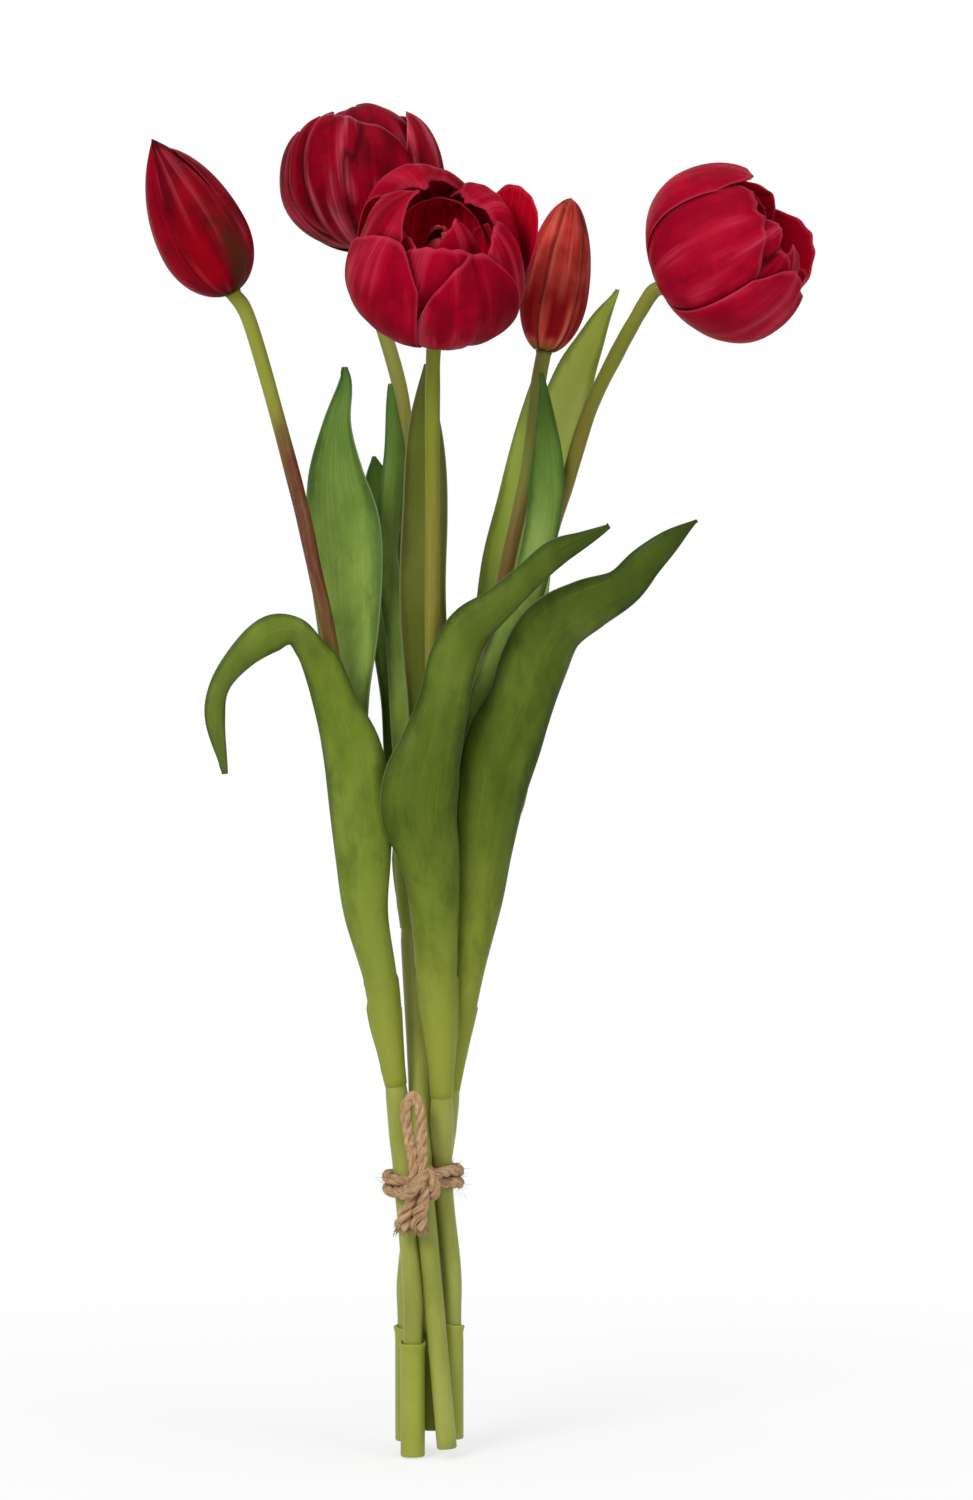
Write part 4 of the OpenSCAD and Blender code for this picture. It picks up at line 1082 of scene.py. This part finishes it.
SIDE = {
    "outer": [
        dict(at=-97, radius=30.6, half=47, high=29, point=0.7, rim=(46, 55, 59, 56, 59, 56, 50, 39, 24)),
        dict(at=-12, radius=32.2, half=45, high=29, point=0.7, lap=-0.6,
             rim=(26, 48, 54, 55, 50, 43, 37, 30, 16)),
        dict(at=-170, radius=32, half=43, high=29, wave=0.08, rim=(10, 24, 36, 46, 53, 57, 56, 51, 30)),
        dict(at=76, radius=30, half=42, high=30, point=0.4, flare=2,
             rim=(20, 34, 44, 50, 52, 50, 44, 36, 22)),
    ],
    "middle": [
        dict(at=-78, radius=28.4, half=27, high=28, point=0.7, wave=0.05, rim=arch(74, 30, 3)),
        dict(at=-46, radius=29.2, half=24, high=28, point=0.7, wave=0.05, rim=arch(62, 28, 3)),
        dict(at=30, radius=28, half=46, high=29, point=0.6, rim=arch(46, 26)),
        dict(at=126, radius=29.5, half=36, high=29, point=0.6, rim=(22, 30, 38, 43, 45, 42, 34, 26, 14)),
    ],
    "inner": [
        dict(at=-150, radius=24, half=46, high=27, rim=arch(58, 36)),
        dict(at=-6, radius=25.5, half=36, high=27, point=0.7, wave=0.05, rim=arch(77, 34, 2.6)),
        dict(at=60, radius=24, half=46, high=26, rim=arch(40, 30)),
        dict(at=130, radius=23, half=46, high=26, rim=arch(46, 30)),
    ],
    "heart": heart(10),
}
BUD = dict(half=60, rim=arch(88, 40), lap=0.0, ridge=0.06, dent=0.25, tuck=0.3, wave=0.05, curl=0, low=21.5,
           high=37)
LEFT = {
    "outer": [
        dict(BUD, at=91, radius=17.3, half=41, point=1.8, high=38, tuck=1.1),
        dict(BUD, at=2, radius=16.2, half=66, point=1.7, high=38, rim=arch(88, 30)),
        dict(BUD, at=-140, radius=15.9, half=90, point=1.15, high=35, tuck=0, rim=arch(88, 30)),
    ],
    "inner": [dict(BUD, at=turn, radius=14.4, low=18, half=64, point=1.9, high=37, rim=arch(88, 16))
              for turn in (165, 45, -75)],
}
RIGHT = {
    "outer": [
        dict(BUD, at=-86, radius=12.6, half=34, point=1.05, low=20.5, high=35, tuck=1.2),
        dict(BUD, at=-150, radius=11.6, half=54, point=0.95, low=20.5, high=34),
        dict(BUD, at=-22, radius=11.9, half=46, point=1.15, low=20.5, high=34),
        dict(BUD, at=88, radius=11.6, half=74, point=1.05, low=20.5, high=33.5),
    ],
    "inner": [dict(BUD, at=turn, radius=11, low=18, half=64, point=1.1, high=32, rim=arch(88, 16))
              for turn in (40, 160, -80)],
}
HEADS = [LEFT, BACK, FRONT, RIGHT, SIDE]
for k, rings in enumerate(HEADS):
    make_head(k, rings)

# Twine
TWINE_D = 3.6
TWINE_PITCH = TWINE_D + 0.6
WRAP_REACH = STEM_OD / 2 + 0.4 + TWINE_D / 2
LOOP_HEIGHT = 31
TAIL_LENGTH = 15
WRAP_STEPS = 24
PLIES = 3
PLY_RADIUS = 1.08
PLY_OFFSET = 0.98
OPENED = 12
PLY_TURNS_PER_MM = 0.075
PLY_SIDES = 10
PLY_OPENS, PLY_SWELLS = 1.05, 0.2
ROUTE_STEPS, BAND_STEPS = 640, 60
HAIR_POINTS, HAIR_SIDES = 6, 4
HAIR_START = (0.3, -0.9, 0.31)
HAIR_BOW, HAIR_THINS = 0.25, 0.6
FIBRES = 170
FIBRE_OUT, FIBRE_SAG, FIBRE_RADIUS = 1.7, 0.2, 0.07
FRAYED_STRANDS = 80
FRAY_INSET, FRAY_SAG, FRAY_RADIUS = 2, 0.3, 0.26


def wrap_point(turn):
    a = math.radians(-90 + 360 * turn)
    way = np.array([math.cos(a), math.sin(a), 0])
    outermost = max((at_tie(k) for k in range(5)), key=lambda p: p @ way)
    return outermost + WRAP_REACH * way + np.array([0, 0, TWINE_PITCH * (1 - turn)])


def knot_point(across, layer, up):
    """A place in front of the wraps: across and forwards in strands, up in millimetres."""
    return wrap_point(1) + np.array([across * TWINE_PITCH, -layer * TWINE_PITCH, up])


def twine_route():
    """A cut end, the knot's back strand, two turns round the stems, the loop and the other cut end."""
    low, tall, strand = TAIL_LENGTH, LOOP_HEIGHT, TWINE_PITCH
    start = [(-1.7, 1, -low), (-1.5, 1.2, -0.7 * low), (-1.0, 1.4, -0.4 * low), (-0.3, 1.3, 0),
             (0.75, 1, 0.75 * strand)]
    wraps = [wrap_point(i / WRAP_STEPS) for i in range(2, 2 * WRAP_STEPS - 1)]
    end = [(-1.35, 1, -0.5 * strand), (-0.95, 2.0, 0.25 * strand), (-0.72, 2.0, 1.3 * strand),
           (-1.1, 1.3, 0.5 * tall), (-1.45, 1.1, 0.84 * tall), (-0.85, 1, tall), (-0.25, 1.1, 0.84 * tall),
           (-0.1, 1.4, 0.5 * tall), (-0.05, 2.1, 1.4 * strand), (0.2, 2.3, 0), (0, 1.9, -0.4 * low),
           (-0.35, 1.5, -0.7 * low), (-0.3, 1.3, -low)]
    return np.array([knot_point(*p) for p in start] + wraps + [knot_point(*p) for p in end])


def knot_bands():
    """The strands that cross over the knot and hold it, all in strands."""
    rising = [(-1.6, 0.9, -0.9), (-1.15, 2.1, -0.55), (-0.55, 2.9, 0.15), (0, 2.8, 0.85), (0.4, 1.6, 1.15),
              (0.5, 0.8, 1.1)]
    falling = [(-0.1, 1.2, 1.2), (0.55, 2.3, 0.95), (0.95, 2.6, 0.25), (1.0, 2.2, -0.45), (0.75, 1.3, -0.9),
               (0.5, 0.8, -1.1)]
    return [np.array([knot_point(across, layer, up * TWINE_PITCH) for across, layer, up in band])
            for band in (rising, falling)]


def add_strand(shape, path, steps, frayed):
    """Twisted plies along a path; returns its points and their three directions."""
    counts = np.linspace(0, len(path) - 1, steps)
    points, headings = curve(path, counts), heading(path, counts)
    run = run_along(points)
    across = carried(headings, TUBE_START)
    other = np.cross(headings, across)
    loosen = frayed * (ease((OPENED - run) / OPENED) + ease((run - run[-1] + OPENED) / OPENED))
    for ply in range(PLIES):
        turn = 2 * np.pi * (PLY_TURNS_PER_MM * run + ply / PLIES)
        out = np.cos(turn)[:, None] * across + np.sin(turn)[:, None] * other
        line = points + out * (PLY_OFFSET * (1 + PLY_OPENS * loosen))[:, None]
        radii = PLY_RADIUS * (1 + PLY_SWELLS * loosen)
        add_tube(shape, line, unit(np.gradient(line, axis=0)), radii, PLY_SIDES, seed=ply + 1)
    return points, headings, across, other


def make_twine():
    shape = Shape()
    points, headings, across, other = add_strand(shape, twine_route(), ROUTE_STEPS, 1)
    for band in knot_bands():
        add_strand(shape, band, BAND_STEPS, 0)
    chance = np.random.default_rng(7)
    add_fibres(shape, chance, points, headings, across, other)
    for end, sign in ((0, -1), (-1, 1)):
        add_fray(shape, chance, points[end], sign * headings[end], across[end], other[end])
    place_piece(shape, "twine_tie", JUTE, "bunch")


def add_hair(shape, chance, start, way, length, drop, radius):
    bow = unit(chance.normal(size=3)) * length * HAIR_BOW
    t = np.linspace(0, 1, HAIR_POINTS)[:, None]
    line = start + way * length * t + bow * t ** 2 + np.array([0, 0, -drop]) * t ** 2
    add_tube(shape, line, unit(np.gradient(line, axis=0)), radius * (1 - HAIR_THINS * t[:, 0]), HAIR_SIDES,
             first=HAIR_START, seed=4 + chance.random())


def add_fibres(shape, chance, points, headings, across, other):
    """Loose hairs that stand off the twine."""
    for i in chance.integers(4, len(points) - 4, FIBRES):
        a = chance.random() * 2 * np.pi
        out = math.cos(a) * across[i] + math.sin(a) * other[i]
        way = unit(out * chance.uniform(0.4, 1) + headings[i] * chance.uniform(-1, 1))
        length = chance.uniform(1.5, 5)
        add_hair(shape, chance, points[i] + out * FIBRE_OUT, way, length, FIBRE_SAG * length, FIBRE_RADIUS)


def add_fray(shape, chance, end, way, across, other):
    """Opened strands at a cut end."""
    for i in range(FRAYED_STRANDS):
        a = chance.random() * 2 * np.pi
        out = math.cos(a) * across + math.sin(a) * other
        spread = chance.uniform(0.05, 0.4)
        start = end + out * chance.uniform(0.2, 2.2) - way * FRAY_INSET
        length = chance.uniform(2.5, 4.5)
        add_hair(shape, chance, start, unit(way + out * spread), length, FRAY_SAG, FRAY_RADIUS)


make_twine()

# Pegs and cores keep the part's own solids
for name in TULIPS:
    for node in (name + "_peg", name + "_core"):
        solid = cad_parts[node]
        solid.data.materials.clear()
        solid.data.materials.append(CORE)


# Stage and light
FLOOR_REACH = 8.0
FLOOR_LEVEL = -0.0006
FLOOR_GLOW = 0.7
GLOW_FROM, GLOW_FULL = 0.05, 0.5
WHITE = (1, 1, 1, 1)
LIGHT_AIM = np.array([0, 0, 0.3])


def make_floor():
    """A floor that takes shadows near the part and looks white farther away."""
    s = Surface("floor_white")
    s.set(Base_Color=rgb(244, 244, 244), Roughness=0.9)
    place = s.node("NewGeometry").outputs["Position"]
    away = s.node("VectorMath", {0: place}, operation="LENGTH").outputs["Value"]
    glow = s.node("Emission", {"Color": WHITE, "Strength": 1.0})
    blend = s.node("MixShader", {0: s.times(s.seen(), s.ramp(away, GLOW_FROM, GLOW_FULL, FLOOR_GLOW, 1.0))})
    s.put(blend.inputs[1], s.shader.outputs[0])
    s.put(blend.inputs[2], glow.outputs[0])
    s.put(s.tree.nodes["Material Output"].inputs["Surface"], blend.outputs[0])
    mesh = bpy.data.meshes.new("floor")
    signs = [(-1, -1), (1, -1), (1, 1), (-1, 1)]
    corners = [(FLOOR_REACH * x, FLOOR_REACH * y, FLOOR_LEVEL) for x, y in signs]
    mesh.from_pydata(corners, [], [(0, 1, 2, 3)])
    mesh.materials.append(s.material)
    floor = add_object("floor", mesh)


def make_world(strength):
    world = bpy.data.worlds.new("studio")
    world.use_nodes = True
    bpy.context.scene.world = world
    nodes = Nodes(world.node_tree)
    background = nodes.tree.nodes["Background"]
    nodes.put(background.inputs["Color"], WHITE)
    nodes.put(background.inputs["Strength"], nodes.ramp(nodes.seen(), 0.0, 1.0, strength, 1.0))


def add_light(name, place, size, watts):
    data = bpy.data.lights.new(name, "AREA")
    data.shape = "DISK"
    data.size = size
    data.energy = watts
    lamp = add_object(name, data)
    lamp.location = place
    aim = LIGHT_AIM - np.array(place)
    tilt = math.acos(-aim[2] / np.linalg.norm(aim))
    lamp.rotation_euler = (tilt, 0, math.atan2(aim[0], -aim[1]) + math.pi)


make_floor()
make_world(strength=0.3)
add_light("key", place=(-1.3, -2.1, 1.8), size=1.4, watts=56)
add_light("fill", place=(1.9, -1.9, 1.5), size=1.6, watts=18)
add_light("top", place=(0.2, -0.2, 2.5), size=1.4, watts=18)
bpy.context.scene.view_settings.view_transform = "Standard"

bpy.context.view_layer.update()
